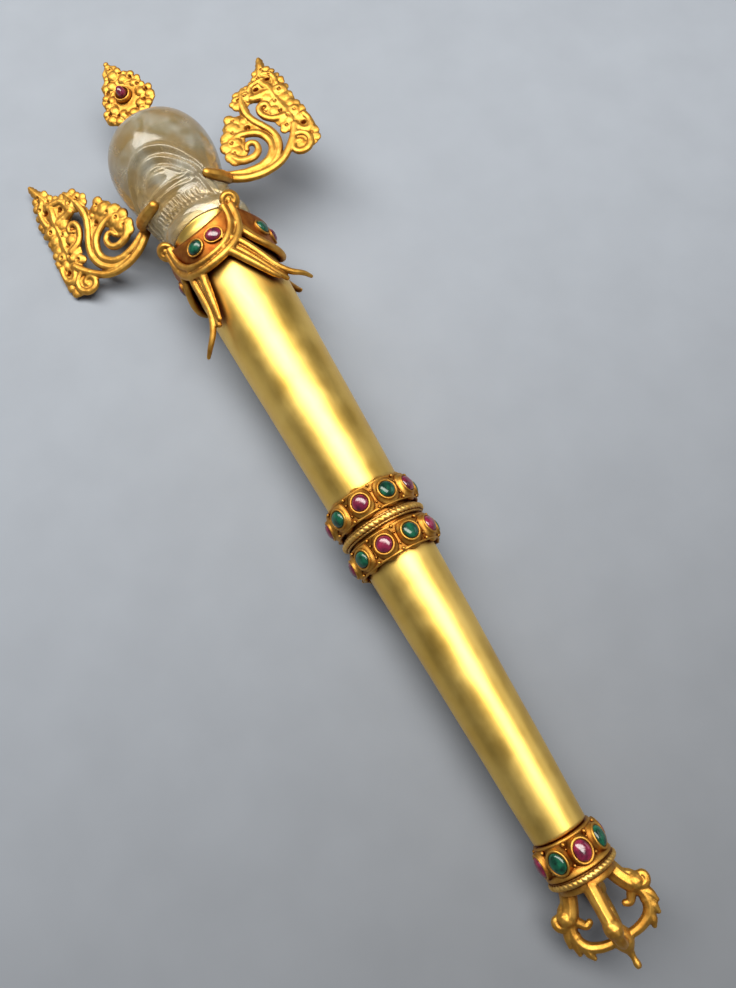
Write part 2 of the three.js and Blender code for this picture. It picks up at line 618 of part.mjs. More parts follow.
function flameCrest() {
  const half = CREST_THICKNESS / 2;
  // Half of the outline from foot to tip, as shares of the crest's half width and height
  const edge = [
    [0.2, 0], [0.24, 0.16], [0.62, 0.22], [0.98, 0.3], [1, 0.42], [0.8, 0.47], [0.82, 0.58], [0.6, 0.63],
    [0.58, 0.74], [0.36, 0.78], [0.3, 0.88], [0.12, 0.92], [0, 1],
  ];
  const right = edge.map(([out, up]) => new THREE.Vector2(out * CREST_HALF_WIDTH, up * CREST_HEIGHT));
  const left = right.slice(0, -1).reverse().map(({ x, y }) => new THREE.Vector2(-x, y));
  const plate = new THREE.ExtrudeGeometry(new THREE.Shape([...right, ...left]), {
    depth: CREST_THICKNESS * 0.5, bevelEnabled: true, bevelThickness: CREST_THICKNESS * 0.25, bevelSize: 0.4,
    bevelOffset: -0.4, bevelSegments: 1,
  }).translate(0, 0, -CREST_THICKNESS * 0.25).rotateX(Math.PI / 2);
  const tongues = [0.3, 0.5, 0.68].flatMap((up, index) => [-1, 1].map((side) => {
    const out = [0.74, 0.6, 0.42][index] * CREST_HALF_WIDTH * side;
    return new THREE.SphereGeometry(1, 6, 4).scale(3 - index * 0.5, half + 0.5, 2.6 - index * 0.3)
      .translate(out, 0, up * CREST_HEIGHT + 1);
  }));
  const setting = new THREE.CylinderGeometry(CREST_RUBY_SIZE / 2 + 1.5, CREST_RUBY_SIZE / 2 + 1, 1.4, 10)
    .translate(0, -half - 0.4, CREST_HEIGHT * 0.48);
  const whole = joined([plate, ...tongues, setting]);
  const geometry = toGeometry(whole).translate(0, 0, crestFoot);
  return named('flame_crest', toGeometry(toSolid(geometry).subtract(skullClearance())), GOLD_CAST);
}

function crestRuby() {
  const size = CREST_RUBY_SIZE / 2;
  const face = CREST_THICKNESS / 2 + 1.1 + SEAT_GAP;
  return named('crest_ruby', seat(dome(size, size, GEM_HEIGHT, 10), face, 0, crestRubyHeight), RUBY);
}

// The staff, upright

const lowerBand = middleBand('lower', ropeMiddle - ROPE_THICKNESS / 2 - SEAT_GAP - BAND_LENGTH);
const upperBand = middleBand('upper', ropeMiddle + ROPE_THICKNESS / 2 + SEAT_GAP);
const foot = footBand();
const collar = swagCollar();
const footRope = ropeRing(
  'foot_rope_ring', footRopeBottom, FOOT_ROPE_THICKNESS, FOOT_BAND_RADIUS * 0.5, FOOT_ROPE_RADIUS - 0.2,
  FOOT_ROPE_TWISTS,
);
const middleRope = ropeRing(
  'middle_rope_ring', ropeMiddle - ROPE_THICKNESS / 2, ROPE_THICKNESS,
  shaftRadiusAt(ropeMiddle + 2) + SEAT_GAP, ROPE_RADIUS - 0.2, ROPE_TWISTS,
);
const headOrnaments = [
  flameCrest(), crestRuby(), scrollEar('left_scroll_ear', -1, LEFT_EAR_HEIGHT),
  scrollEar('right_scroll_ear', 1, RIGHT_EAR_HEIGHT),
];
headOrnaments.forEach((piece) => piece.geometry.translate(HEAD_OFFSET, 0, 0));
const pieces = [
  crystalSkull(), ...headOrnaments, neckCup(), collar.mesh, ...collar.gems,
  shaft('upper_shaft', upperShaftBottom, upperShaftTop, SHAFT_JOINT_RADIUS, SHAFT_TOP_RADIUS),
  upperBand.mesh, ...upperBand.gems, middleRope, lowerBand.mesh, ...lowerBand.gems,
  shaft('lower_shaft', lowerShaftBottom, lowerShaftTop, SHAFT_FOOT_RADIUS, SHAFT_JOINT_RADIUS),
  foot.mesh, ...foot.gems, footRope, halfVajra(),
];

// Laying it down: the staff rolls from its rough lying pose to the side of its hull that carries
// its centre of mass

const ROUGH_ROLL = 12;

function centreOfMass(meshes) {
  const sum = new THREE.Vector3();
  let total = 0;
  const [a, b, c] = [new THREE.Vector3(), new THREE.Vector3(), new THREE.Vector3()];
  for (const mesh of meshes) {
    const { position } = mesh.geometry.attributes;
    const corner = mesh.geometry.index ? (i) => mesh.geometry.index.getX(i) : (i) => i;
    const corners = mesh.geometry.index ? mesh.geometry.index.count : position.count;
    for (let i = 0; i < corners; i += 3) {
      a.fromBufferAttribute(position, corner(i));
      b.fromBufferAttribute(position, corner(i + 1));
      c.fromBufferAttribute(position, corner(i + 2));
      const volume = a.dot(b.clone().cross(c)) / 6;
      total += volume;
      sum.addScaledVector(a.clone().add(b).add(c), volume / 4);
    }
  }
  return sum.divideScalar(total);
}

function restingDirection(meshes) {
  const points = [];
  for (const mesh of meshes) {
    const { position } = mesh.geometry.attributes;
    for (let i = 0; i < position.count; i += 1) {
      points.push(new THREE.Vector3().fromBufferAttribute(position, i));
    }
  }
  const hull = new ConvexHull().setFromPoints(points);
  const centre = centreOfMass(meshes);
  const faceBelow = (down) => {
    let best = null;
    let reach = Infinity;
    for (const face of hull.faces) {
      const steep = face.normal.dot(down);
      if (steep > 1e-9) {
        const distance = (face.constant - face.normal.dot(centre)) / steep;
        if (distance < reach) {
          reach = distance;
          best = face;
        }
      }
    }
    return best;
  };
  let down = new THREE.Vector3(-Math.sin(rad(ROUGH_ROLL)), Math.cos(rad(ROUGH_ROLL)), 0);
  let face = faceBelow(down);
  for (let rolls = 0; rolls < 200; rolls += 1) {
    down = face.normal.clone();
    const next = faceBelow(down);
    if (next === face) {
      break;
    }
    face = next;
  }
  return down;
}

const staff = new THREE.Group();
staff.add(...pieces);
const down = restingDirection(pieces);
const head = new THREE.Vector3(0, 0, 1).addScaledVector(down, -down.z).normalize();
const acrossStaff = new THREE.Vector3().crossVectors(head, down);
// Rows of the turn: the staff's head goes to -X, its resting side to -Z
const turn = new THREE.Matrix4()
  .makeBasis(head.clone().negate(), acrossStaff.clone().negate(), down.clone().negate());
staff.quaternion.setFromRotationMatrix(turn.transpose());

const sceptre = new THREE.Group();
sceptre.add(staff);
sceptre.updateMatrixWorld(true);
const box = new THREE.Box3().setFromObject(sceptre, true);
staff.position.set(-(box.min.x + box.max.x) / 2, -(box.min.y + box.max.y) / 2, -box.min.z);

export default sceptre;
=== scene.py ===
"""The looks of a ceremonial sceptre that lies on a pale floor: gold, a crystal skull and cabochons.

Every piece is made in millimetres on the upright staff (foot at height 0, front towards -Y, the
staff's own right towards +X) and is then laid down, in metres, where the CAD model lies.
"""

import math

import bmesh
import bpy
from mathutils import Matrix, Vector, noise


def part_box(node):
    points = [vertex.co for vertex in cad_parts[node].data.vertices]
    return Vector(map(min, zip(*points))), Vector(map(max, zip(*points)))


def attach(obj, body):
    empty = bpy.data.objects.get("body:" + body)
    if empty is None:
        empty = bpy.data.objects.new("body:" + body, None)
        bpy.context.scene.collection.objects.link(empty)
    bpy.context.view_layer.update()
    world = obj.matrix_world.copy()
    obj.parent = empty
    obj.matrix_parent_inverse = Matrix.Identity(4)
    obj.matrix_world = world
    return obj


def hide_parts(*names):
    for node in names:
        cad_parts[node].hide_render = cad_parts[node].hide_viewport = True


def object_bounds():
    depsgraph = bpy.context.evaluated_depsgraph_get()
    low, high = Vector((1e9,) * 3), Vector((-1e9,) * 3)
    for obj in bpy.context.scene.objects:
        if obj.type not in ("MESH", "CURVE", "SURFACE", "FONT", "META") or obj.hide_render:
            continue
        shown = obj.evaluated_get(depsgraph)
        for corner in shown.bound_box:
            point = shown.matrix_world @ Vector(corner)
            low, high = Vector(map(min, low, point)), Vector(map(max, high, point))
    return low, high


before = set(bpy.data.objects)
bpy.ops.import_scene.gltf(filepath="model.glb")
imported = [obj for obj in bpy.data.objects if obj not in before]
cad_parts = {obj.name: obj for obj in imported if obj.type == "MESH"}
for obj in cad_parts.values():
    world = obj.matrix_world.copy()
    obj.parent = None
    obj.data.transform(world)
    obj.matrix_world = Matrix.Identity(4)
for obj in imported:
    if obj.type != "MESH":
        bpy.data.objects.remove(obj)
cad_low, cad_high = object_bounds()

MM = 0.001

# How far the first stone of the upper band stands from the staff's front, in degrees
FIRST_STONE_TURN = -3.4

# Where the photograph was taken from: millimetres from the middle of the rope ring, and the
# camera's directions, all along (axis towards the foot, level across, up)
CAMERA_PLACE = (56.0, -39.6, 263.5)
CAMERA_RIGHT = (0.48925, 0.87211, 0.00735)
CAMERA_UP = (-0.83509, 0.46601, 0.29234)
CAMERA_LENS = 29.04

# Drawn sizes of the ornaments, as the photograph gives them
EAR_DRAWN_HEIGHT = 51.0
EAR_SWEEP = 9.0
EAR_HINGE = 13.6
HEAD_OFFSET = -2.4
COLLAR_TURN = -10.0
SWAG_HALF_ANGLE = 50.0
RIB_RADIUS = 1.42
STONE_SEGMENTS = 32


# The staff's own frame

def middle(node):
    low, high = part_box(node)
    return (low + high) / 2


def staff_matrix():
    """Takes millimetres on the upright staff to metres where it lies."""
    up = (middle("neck_cup") - middle("foot_rope_ring")).normalized()
    front = middle("upper_ruby_1") - middle("upper_emerald_6")
    front = (front - up * front.dot(up)).normalized()
    front = Matrix.Rotation(math.radians(-FIRST_STONE_TURN), 3, up) @ front
    right = up.cross(front)
    foot = middle("foot_rope_ring")
    tip = min(v.co.dot(up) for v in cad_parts["half_vajra"].data.vertices)
    origin = foot + up * (tip - foot.dot(up))
    turn = Matrix((right, -front, up)).transposed()
    return Matrix.Translation(origin) @ (turn * MM).to_4x4()


LAY = staff_matrix()
UNLAY = LAY.inverted()


def points_of(node):
    return [UNLAY @ v.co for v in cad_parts[node].data.vertices]


def heights(node):
    reach = [p.z for p in points_of(node)]
    return min(reach), max(reach)


def outer_radius(node):
    return max(math.hypot(p.x, p.y) for p in points_of(node))


def inner_radius(node):
    return min(math.hypot(p.x, p.y) for p in points_of(node))


def around(radius, degrees, height):
    """A point at an angle from the front, positive towards the staff's right."""
    angle = math.radians(degrees)
    return Vector((radius * math.sin(angle), -radius * math.cos(angle), height))


def across_at(degrees):
    """The direction along the staff's surface, at right angles to its axis."""
    return around(1, degrees + 90, 0)


def outward_matrix(radius, degrees, height):
    """Stands a shape with its base at the origin and its top towards +Z outwards on the staff."""
    turn = Matrix((across_at(degrees), Vector((0, 0, 1)), around(1, degrees, 0))).transposed()
    return Matrix.Translation(around(radius, degrees, height)) @ turn.to_4x4()


# Materials

def linear(hex_colour):
    """An sRGB hex value as linear RGBA."""
    channels = [int(hex_colour[i:i + 2], 16) / 255 for i in (1, 3, 5)]
    return (*[c / 12.92 if c <= 0.04045 else ((c + 0.055) / 1.055) ** 2.4 for c in channels], 1.0)


def grey(value):
    return (value, value, value, 1.0)


NOISE, RAMP, MIX, BUMP = "ShaderNodeTexNoise", "ShaderNodeValToRGB", "ShaderNodeMix", "ShaderNodeBump"
SHADOWED = "ShaderNodeAmbientOcclusion"
# The sockets of a colour mix
FIRST, SECOND, MIXED = 6, 7, 2


def add(tree, kind, settings=None, inputs=None, stops=()):
    """A node with its settings, its inputs as values or as links from other nodes' outputs, and
    the (place, colour) stops of a colour ramp."""
    node = tree.nodes.new(kind)
    for name, value in (settings or {}).items():
        setattr(node, name, value)
    for name, value in (inputs or {}).items():
        if isinstance(value, bpy.types.NodeSocket):
            tree.links.new(value, node.inputs[name])
        else:
            node.inputs[name].default_value = value
    if stops:
        elements = node.color_ramp.elements
        while len(elements) < len(stops):
            elements.new(0.5)
        for element, (place, colour) in zip(elements, stops):
            element.position = place
            element.color = colour
    return node


def shader_tree(name):
    material = bpy.data.materials.new(name)
    material.use_nodes = True
    tree = material.node_tree
    return material, tree, tree.nodes["Principled BSDF"], add(tree, "ShaderNodeTexCoord").outputs["Object"]


def beaten_sheet_gold():
    """High-carat gold sheet beaten over a form and burnished: clean, with broad soft bright bands
    that wander a little over shallow dents, duller rubbed patches and fine marks along the staff,
    and a red-brown painted shade in the corners that the ambient occlusion finds."""
    material, tree, shader, place = shader_tree("beaten_sheet_gold")
    dents = add(tree, NOISE, inputs={"Vector": place, "Scale": 1 / (22 * MM), "Detail": 2.0}).outputs["Fac"]
    along = add(tree, "ShaderNodeMapping", inputs={"Vector": place, "Scale": (0.2, 1, 1)}).outputs["Vector"]
    marks = add(tree, NOISE, inputs={"Vector": along, "Scale": 1 / (1.4 * MM), "Detail": 4.0}).outputs["Fac"]
    patches = add(tree, NOISE, inputs={"Vector": place, "Scale": 1 / (16 * MM), "Detail": 5.0}).outputs["Fac"]
    clean = add(tree, RAMP, inputs={"Fac": patches}, stops=[
        (0.35, linear("#E6BA58")), (0.65, linear("#F1CC70"))])
    # Painted shade: where the ambient occlusion finds a corner, the colour turns red-brown (#8A4A16)
    corner = add(tree, SHADOWED, {"samples": 6}, {"Distance": 3 * MM}).outputs["AO"]
    painted_shade_mask = add(tree, RAMP, inputs={"Fac": corner}, stops=[(0.45, grey(0)), (0.85, grey(1))])
    colour = add(tree, MIX, {"data_type": "RGBA"}, {
        "Factor": painted_shade_mask.outputs["Color"], FIRST: linear("#8A4A16"), SECOND: clean.outputs["Color"]})
    wear = add(tree, RAMP, inputs={"Fac": patches}, stops=[(0.35, grey(0.37)), (0.65, grey(0.48))])
    rubbed = add(tree, RAMP, inputs={"Fac": marks}, stops=[(0.3, grey(0.75)), (0.7, grey(1))])
    rough = add(tree, MIX, {"data_type": "RGBA", "blend_type": "MULTIPLY"}, {
        "Factor": 0.35, FIRST: wear.outputs["Color"], SECOND: rubbed.outputs["Color"]})
    soft = add(tree, BUMP, inputs={"Height": dents, "Strength": 0.14, "Distance": 0.8 * MM})
    fine = add(tree, BUMP, inputs={
        "Height": marks, "Strength": 0.08, "Distance": 0.03 * MM, "Normal": soft.outputs["Normal"]})
    shader.inputs["Metallic"].default_value = 1.0
    tree.links.new(colour.outputs[MIXED], shader.inputs["Base Color"])
    tree.links.new(rough.outputs[MIXED], shader.inputs["Roughness"])
    tree.links.new(fine.outputs["Normal"], shader.inputs["Normal"])
    return material


def cast_gold(name, pale, deep):
    """Cast and chased gold, left satin, with painted shade from the ambient occlusion: bright yellow on the
    open ridges, orange in the flats and red-brown in the recesses, with a fine grain from the mould."""
    material, tree, shader, place = shader_tree(name)
    hollow = add(tree, SHADOWED, {"samples": 8}, {"Distance": 2.6 * MM}).outputs["AO"]
    cloud = add(tree, NOISE, inputs={"Vector": place, "Scale": 1 / (3 * MM), "Detail": 3.0}).outputs["Fac"]
    grain = add(tree, NOISE, inputs={"Vector": place, "Scale": 1 / (0.45 * MM), "Detail": 3.0}).outputs["Fac"]
    body = add(tree, RAMP, inputs={"Fac": cloud}, stops=[(0.3, linear(deep)), (0.7, linear(pale))])
    # Painted shade: where the ambient occlusion finds a recess, the colour turns red-brown (#70340E)
    recess_shade_mask = add(tree, RAMP, inputs={"Fac": hollow}, stops=[
        (0.42, grey(0)), (0.72, grey(0.42)), (0.96, grey(1))])
    colour = add(tree, MIX, {"data_type": "RGBA"}, {
        "Factor": recess_shade_mask.outputs["Color"], FIRST: linear("#70340E"), SECOND: body.outputs["Color"]})
    rough = add(tree, RAMP, inputs={"Fac": grain}, stops=[(0.3, grey(0.42)), (0.75, grey(0.58))])
    bump = add(tree, BUMP, inputs={"Height": grain, "Strength": 0.25, "Distance": 0.08 * MM})
    shader.inputs["Metallic"].default_value = 1.0
    tree.links.new(colour.outputs[MIXED], shader.inputs["Base Color"])
    tree.links.new(rough.outputs["Color"], shader.inputs["Roughness"])
    tree.links.new(bump.outputs["Normal"], shader.inputs["Normal"])
    return material


def rock_crystal():
    """Rock crystal carved and polished by hand: see-through, faintly warm, clouded by veils and
    tan stains inside, with a soft wavy polish."""
    material, tree, shader, place = shader_tree("rock_crystal")
    veil = add(tree, NOISE, inputs={
        "Vector": place, "Scale": 1 / (8 * MM), "Detail": 5.0, "Distortion": 0.6}).outputs["Fac"]
    stain = add(tree, NOISE, inputs={"Vector": place, "Scale": 1 / (13 * MM), "Detail": 2.0}).outputs["Fac"]
    wave = add(tree, NOISE, inputs={"Vector": place, "Scale": 1 / (7 * MM), "Detail": 1.0}).outputs["Fac"]
    clear = add(tree, RAMP, inputs={"Fac": veil}, stops=[
        (0.35, linear("#A39369")), (0.65, linear("#D2CCBA"))])
    stained = add(tree, RAMP, inputs={"Fac": stain}, stops=[(0.42, grey(0.75)), (0.6, grey(0.0))])
    colour = add(tree, MIX, {"data_type": "RGBA"}, {
        "Factor": stained.outputs["Color"], FIRST: clear.outputs["Color"], SECOND: linear("#AF8F55")})
    rough = add(tree, RAMP, inputs={"Fac": veil}, stops=[(0.35, grey(0.1)), (0.7, grey(0.3))])
    bump = add(tree, BUMP, inputs={"Height": wave, "Strength": 0.15, "Distance": 0.3 * MM})
    shader.inputs["Transmission Weight"].default_value = 0.68
    shader.inputs["IOR"].default_value = 1.544
    tree.links.new(colour.outputs[MIXED], shader.inputs["Base Color"])
    tree.links.new(rough.outputs["Color"], shader.inputs["Roughness"])
    tree.links.new(bump.outputs["Normal"], shader.inputs["Normal"])
    return material


def cabochon(name, dark, bright, index):
    """A polished cabochon of included stone: darker and lighter clouds below a glassy surface."""
    material, tree, shader, place = shader_tree(name)
    cloud = add(tree, NOISE, inputs={"Vector": place, "Scale": 1 / (2.4 * MM), "Detail": 3.0}).outputs["Fac"]
    rubs = add(tree, NOISE, inputs={"Vector": place, "Scale": 1 / (0.8 * MM), "Detail": 2.0}).outputs["Fac"]
    colour = add(tree, RAMP, inputs={"Fac": cloud}, stops=[(0.32, linear(dark)), (0.68, linear(bright))])
    rough = add(tree, RAMP, inputs={"Fac": rubs}, stops=[(0.35, grey(0.12)), (0.75, grey(0.28))])
    shader.inputs["IOR"].default_value = index
    shader.inputs["Transmission Weight"].default_value = 0.2
    tree.links.new(colour.outputs["Color"], shader.inputs["Base Color"])
    tree.links.new(rough.outputs["Color"], shader.inputs["Roughness"])
    return material


def paper_floor():
    """Matt seamless backdrop paper, pale blue-grey, with painted shade that darkens it to a deeper neutral
    grey towards +X.
    """
    material, tree, shader, place = shader_tree("backdrop_paper")
    fibre = add(tree, NOISE, inputs={"Vector": place, "Scale": 40.0, "Detail": 3.0}).outputs["Fac"]
    grain = add(tree, RAMP, inputs={"Fac": fibre}, stops=[(0.3, grey(0.94)), (0.7, grey(1))])
    axes = add(tree, "ShaderNodeSeparateXYZ", inputs={"Vector": place})
    # Painted shade, standing in for light falling off: the paper darkens along X from -0.12 m to 0.34 m
    along = add(tree, "ShaderNodeMapRange", inputs={
        "Value": axes.outputs["X"], "From Min": -0.12, "From Max": 0.34})
    painted_falloff = add(tree, RAMP, inputs={"Fac": along.outputs["Result"]}, stops=[
        (0.0, linear("#868B95")), (1.0, linear("#5E6065"))])
    painted_falloff.color_ramp.interpolation = "EASE"
    colour = add(tree, MIX, {"data_type": "RGBA", "blend_type": "MULTIPLY"}, {
        "Factor": 1.0, FIRST: painted_falloff.outputs["Color"], SECOND: grain.outputs["Color"]})
    tree.links.new(colour.outputs[MIXED], shader.inputs["Base Color"])
    shader.inputs["Roughness"].default_value = 0.9
    return material


SHEET_GOLD = beaten_sheet_gold()
CAST_GOLD = cast_gold("cast_gold", "#D2A24C", "#B88134")
# The twisted wires take a paler, lit copy of the cast gold, a painted highlight, and the shields behind the
# collar's stones take a darker, redder copy, a painted shade
LIT_WIRE_GOLD = cast_gold("lit_wire_gold", "#ECC472", "#D6A54E")
SHADED_RED_GOLD = cast_gold("shaded_red_gold", "#B8742E", "#86441C")
CRYSTAL = rock_crystal()
RUBY = cabochon("ruby", "#3E0720", "#8E1A40", 1.77)
EMERALD = cabochon("emerald", "#04241A", "#166045", 1.58)


# Making and placing pieces

def piece(name, shape, material, slot, *nodes, second=None):
    """Lays a finished shape down where the staff lies and makes it stand for its CAD nodes.
    Relief ends at the object's own bounds, flat on the floor where it rests there. Faces marked 1
    take the second material."""
    bmesh.ops.transform(shape, matrix=LAY, verts=shape.verts)
    for vert in shape.verts:
        vert.co = [min(max(value, least), most) for value, least, most in zip(vert.co, cad_low, cad_high)]
    for face in shape.faces:
        face.smooth = True
    mesh = bpy.data.meshes.new(name)
    shape.to_mesh(mesh)
    shape.free()
    mesh.materials.append(material)
    if second:
        mesh.materials.append(second)
    made = bpy.data.objects.new(name, mesh)
    bpy.context.scene.collection.objects.link(made)
    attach(made, "root")
    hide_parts(*nodes)
    return made


def from_object(maker, modifiers=()):
    """Reads an object's finished mesh back into a bmesh and removes the object."""
    bpy.context.scene.collection.objects.link(maker)
    for kind, settings in modifiers:
        modifier = maker.modifiers.new(kind, kind)
        for key, value in settings.items():
            setattr(modifier, key, value)
    finished = bpy.data.meshes.new_from_object(maker.evaluated_get(bpy.context.evaluated_depsgraph_get()))
    shape = bmesh.new()
    shape.from_mesh(finished)
    data = maker.data
    bpy.data.objects.remove(maker)
    bpy.data.meshes.remove(finished)
    if isinstance(data, bpy.types.Curve):
        bpy.data.curves.remove(data)
    else:
        bpy.data.meshes.remove(data)
    return shape


def merge(target, source):
    """Adds one bmesh to another."""
    mesh = bpy.data.meshes.new("merge")
    source.to_mesh(mesh)
    source.free()
    target.from_mesh(mesh)
    bpy.data.meshes.remove(mesh)


def ball(shape, place, radius, stretch=(1, 1, 1), detail=2):
    matrix = Matrix.Translation(place) @ Matrix.Diagonal((*stretch, 1))
    bmesh.ops.create_icosphere(shape, subdivisions=detail, radius=radius, matrix=matrix)


def bars(strokes, smooth_steps=6):
    """Round bars along smooth lines. A stroke is a list of (place, radius)."""
    curve = bpy.data.curves.new("bars", "CURVE")
    curve.dimensions = "3D"
    curve.bevel_depth = 1.0
    curve.bevel_resolution = 2
    curve.resolution_u = smooth_steps
    curve.use_fill_caps = True
    for stroke in strokes:
        spline = curve.splines.new("BEZIER")
        spline.bezier_points.add(len(stroke) - 1)
        for point, (place, radius) in zip(spline.bezier_points, stroke):
            point.co = place
            point.radius = radius
            point.handle_left_type = "AUTO"
            point.handle_right_type = "AUTO"
    shape = from_object(bpy.data.objects.new("bars", curve))
    for stroke in strokes:
        for place, radius in (stroke[0], stroke[-1]):
            ball(shape, place, radius)
    return shape


def cast(shape, grain, passes=2):
    """Melts overlapping closed shells into one skin, as a casting is."""
    mesh = bpy.data.meshes.new("cast")
    shape.to_mesh(mesh)
    shape.free()
    settings = {"mode": "VOXEL", "voxel_size": grain, "use_smooth_shade": True}
    skin = from_object(bpy.data.objects.new("cast", mesh), [("REMESH", settings)])
    for _ in range(passes):
        bmesh.ops.smooth_vert(skin, verts=skin.verts, factor=0.5, use_axis_x=True, use_axis_y=True,
                              use_axis_z=True)
    return skin


def smooth_profile(corners, steps):
    """A Catmull-Rom line through the corners, with that many steps between two of them."""
    ends = [corners[0], *corners, corners[-1]]
    line = []
    for a, b, c, d in zip(ends, ends[1:], ends[2:], ends[3:]):
        for step in range(steps):
            t = step / steps
            line.append(tuple(
                0.5 * (2 * q + (r - p) * t + (2 * p - 5 * q + 4 * r - s) * t ** 2
                       + (3 * q - p - 3 * r + s) * t ** 3)
                for p, q, r, s in zip(a, b, c, d)))
    return [*line, corners[-1]]


def turned(profile, segments):
    """A solid of revolution about the staff's axis from (radius, height) points. A profile that
    starts and ends on the axis closes there, and one that ends where it starts is a ring."""
    shape = bmesh.new()
    verts = [shape.verts.new((0, -radius, height)) for radius, height in profile]
    edges = [shape.edges.new(pair) for pair in zip(verts, verts[1:])]
    bmesh.ops.spin(shape, geom=verts + edges, cent=(0, 0, 0), axis=(0, 0, 1), angle=2 * math.pi,
                   steps=segments, use_merge=True)
    bmesh.ops.remove_doubles(shape, verts=shape.verts, dist=1e-4)
    bmesh.ops.recalc_face_normals(shape, faces=shape.faces)
    return shape


def lumpy(shape, size, height):
    """Moves every point in or out a little, as handwork does."""
    for vert in shape.verts:
        side = Vector((vert.co.x, vert.co.y, 0))
        if side.length > 1:
            vert.co += side.normalized() * height * noise.noise(vert.co / size)


# Shafts and cup

SHAFT_SEGMENTS = 96
SHAFT_RINGS = 90
DENT_SIZE = 24.0
DENT_DEPTH = 0.16
SHEET_EDGE = 0.4
# Room for the dents inside the CAD's surface
DENT_ROOM = 0.995


def shaft(node):
    low, high = heights(node)
    rim = [p for p in points_of(node) if math.hypot(p.x, p.y) > 1]
    bottom_radius = max(math.hypot(p.x, p.y) for p in rim if p.z - low < 1)
    top_radius = max(math.hypot(p.x, p.y) for p in rim if high - p.z < 1)
    profile = [(0, low), (bottom_radius - SHEET_EDGE, low), (bottom_radius, low + SHEET_EDGE)]
    for ring in range(1, SHAFT_RINGS):
        share = ring / SHAFT_RINGS
        profile.append((bottom_radius + (top_radius - bottom_radius) * share, low + (high - low) * share))
    profile += [(top_radius, high - SHEET_EDGE), (top_radius - SHEET_EDGE, high), (0, high)]
    shape = turned([(radius * DENT_ROOM, height) for radius, height in profile], SHAFT_SEGMENTS)
    lumpy(shape, DENT_SIZE, DENT_DEPTH)
    piece(f"{node}_sheet", shape, SHEET_GOLD, "sheet_gold", node)


def neck_cup():
    low, high = heights("neck_cup")
    rim = outer_radius("neck_cup")
    corners = [(rim - 4, low), (rim - 1.6, low + 1.2), (rim - 0.9, low + 3), (rim - 0.7, low + 4.6),
               (rim - 0.1, high - 0.4)]
    profile = [(0, low), *smooth_profile(corners, 5), (rim - 0.3, high), (0, high)]
    piece("neck_cup_sheet", turned(profile, SHAFT_SEGMENTS), SHEET_GOLD, "sheet_gold", "neck_cup")


# Stones

# Half a cabochon's section, as shares of its half width and its depth
CABOCHON_DOME = [(0.93, 0), (1, 0.1), (0.98, 0.3), (0.9, 0.52), (0.74, 0.75), (0.5, 0.91), (0.25, 0.98),
                 (0, 1)]


def stone_seat(node):
    """Angle, radius of the base, height and half sizes of a stone, read from its CAD node."""
    corners = points_of(node)
    centre = sum(corners, Vector()) / len(corners)
    degrees = math.degrees(math.atan2(centre.x, -centre.y))
    reach = [p.dot(around(1, degrees, 0)) for p in corners]
    sides = [p.dot(across_at(degrees)) for p in corners]
    ups = [p.z for p in corners]
    return {
        "degrees": degrees, "base": min(reach), "height": (min(ups) + max(ups)) / 2,
        "depth": max(reach) - min(reach), "half_across": (max(sides) - min(sides)) / 2,
        "half_up": (max(ups) - min(ups)) / 2,
    }


def cabochon_stone(node, stand=None):
    seat = stone_seat(node)
    shape = turned([(0, 0), *smooth_profile(CABOCHON_DOME, 2)], STONE_SEGMENTS)
    size = Matrix.Diagonal((seat["half_across"], seat["half_up"], seat["depth"], 1))
    stand = stand or outward_matrix(seat["base"], seat["degrees"], seat["height"])
    bmesh.ops.transform(shape, matrix=stand @ size, verts=shape.verts)
    bmesh.ops.recalc_face_normals(shape, faces=shape.faces)
    look, slot = (RUBY, "ruby") if "ruby" in node else (EMERALD, "emerald")
    piece(f"{node}_cabochon", shape, look, slot, node)


def stone_names(prefix):
    starts = (f"{prefix}_ruby_", f"{prefix}_emerald_")
    return sorted(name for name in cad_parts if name.startswith(starts))


# Bands of collets

COLLET_WALL = 0.8
COLLET_LIP = 0.5
BIG_GRANULE = 0.62
SMALL_GRANULE = 0.42


def collet(shape, seat, base, foot=0.0, foot_up=0.0):
    """A cup of rolled sheet that grips a stone. Its foot spreads over the band like a petal."""
    lift = seat["base"] - base
    wide = seat["half_across"] + COLLET_WALL
    foot = foot or wide + 0.3
    grip = seat["half_across"]
    profile = [(0, -1.3), (foot, -1.3), (foot + 0.05, -0.45), (foot - 0.35, 0.05),
               (wide + 0.3 * (foot - wide), 0.35 * lift + 0.1), (wide, lift - 0.1),
               (wide + 0.08, lift + COLLET_LIP * 0.5), (wide - 0.2, lift + COLLET_LIP),
               (grip + 0.12, lift + COLLET_LIP * 0.8), (grip, lift - 0.1), (0, lift - 0.15)]
    cup = turned(profile, 40)
    stretch = (seat["half_up"] + COLLET_WALL) / wide
    foot_stretch = (foot_up or foot * stretch) / foot
    for vert in cup.verts:
        reach = math.hypot(vert.co.x, vert.co.y)
        vert.co.y *= stretch + (foot_stretch - stretch) * fade(reach, wide, foot)
    bmesh.ops.transform(cup, matrix=outward_matrix(base, seat["degrees"], seat["height"]), verts=cup.verts)
    bmesh.ops.recalc_face_normals(cup, faces=cup.faces)
    merge(shape, cup)


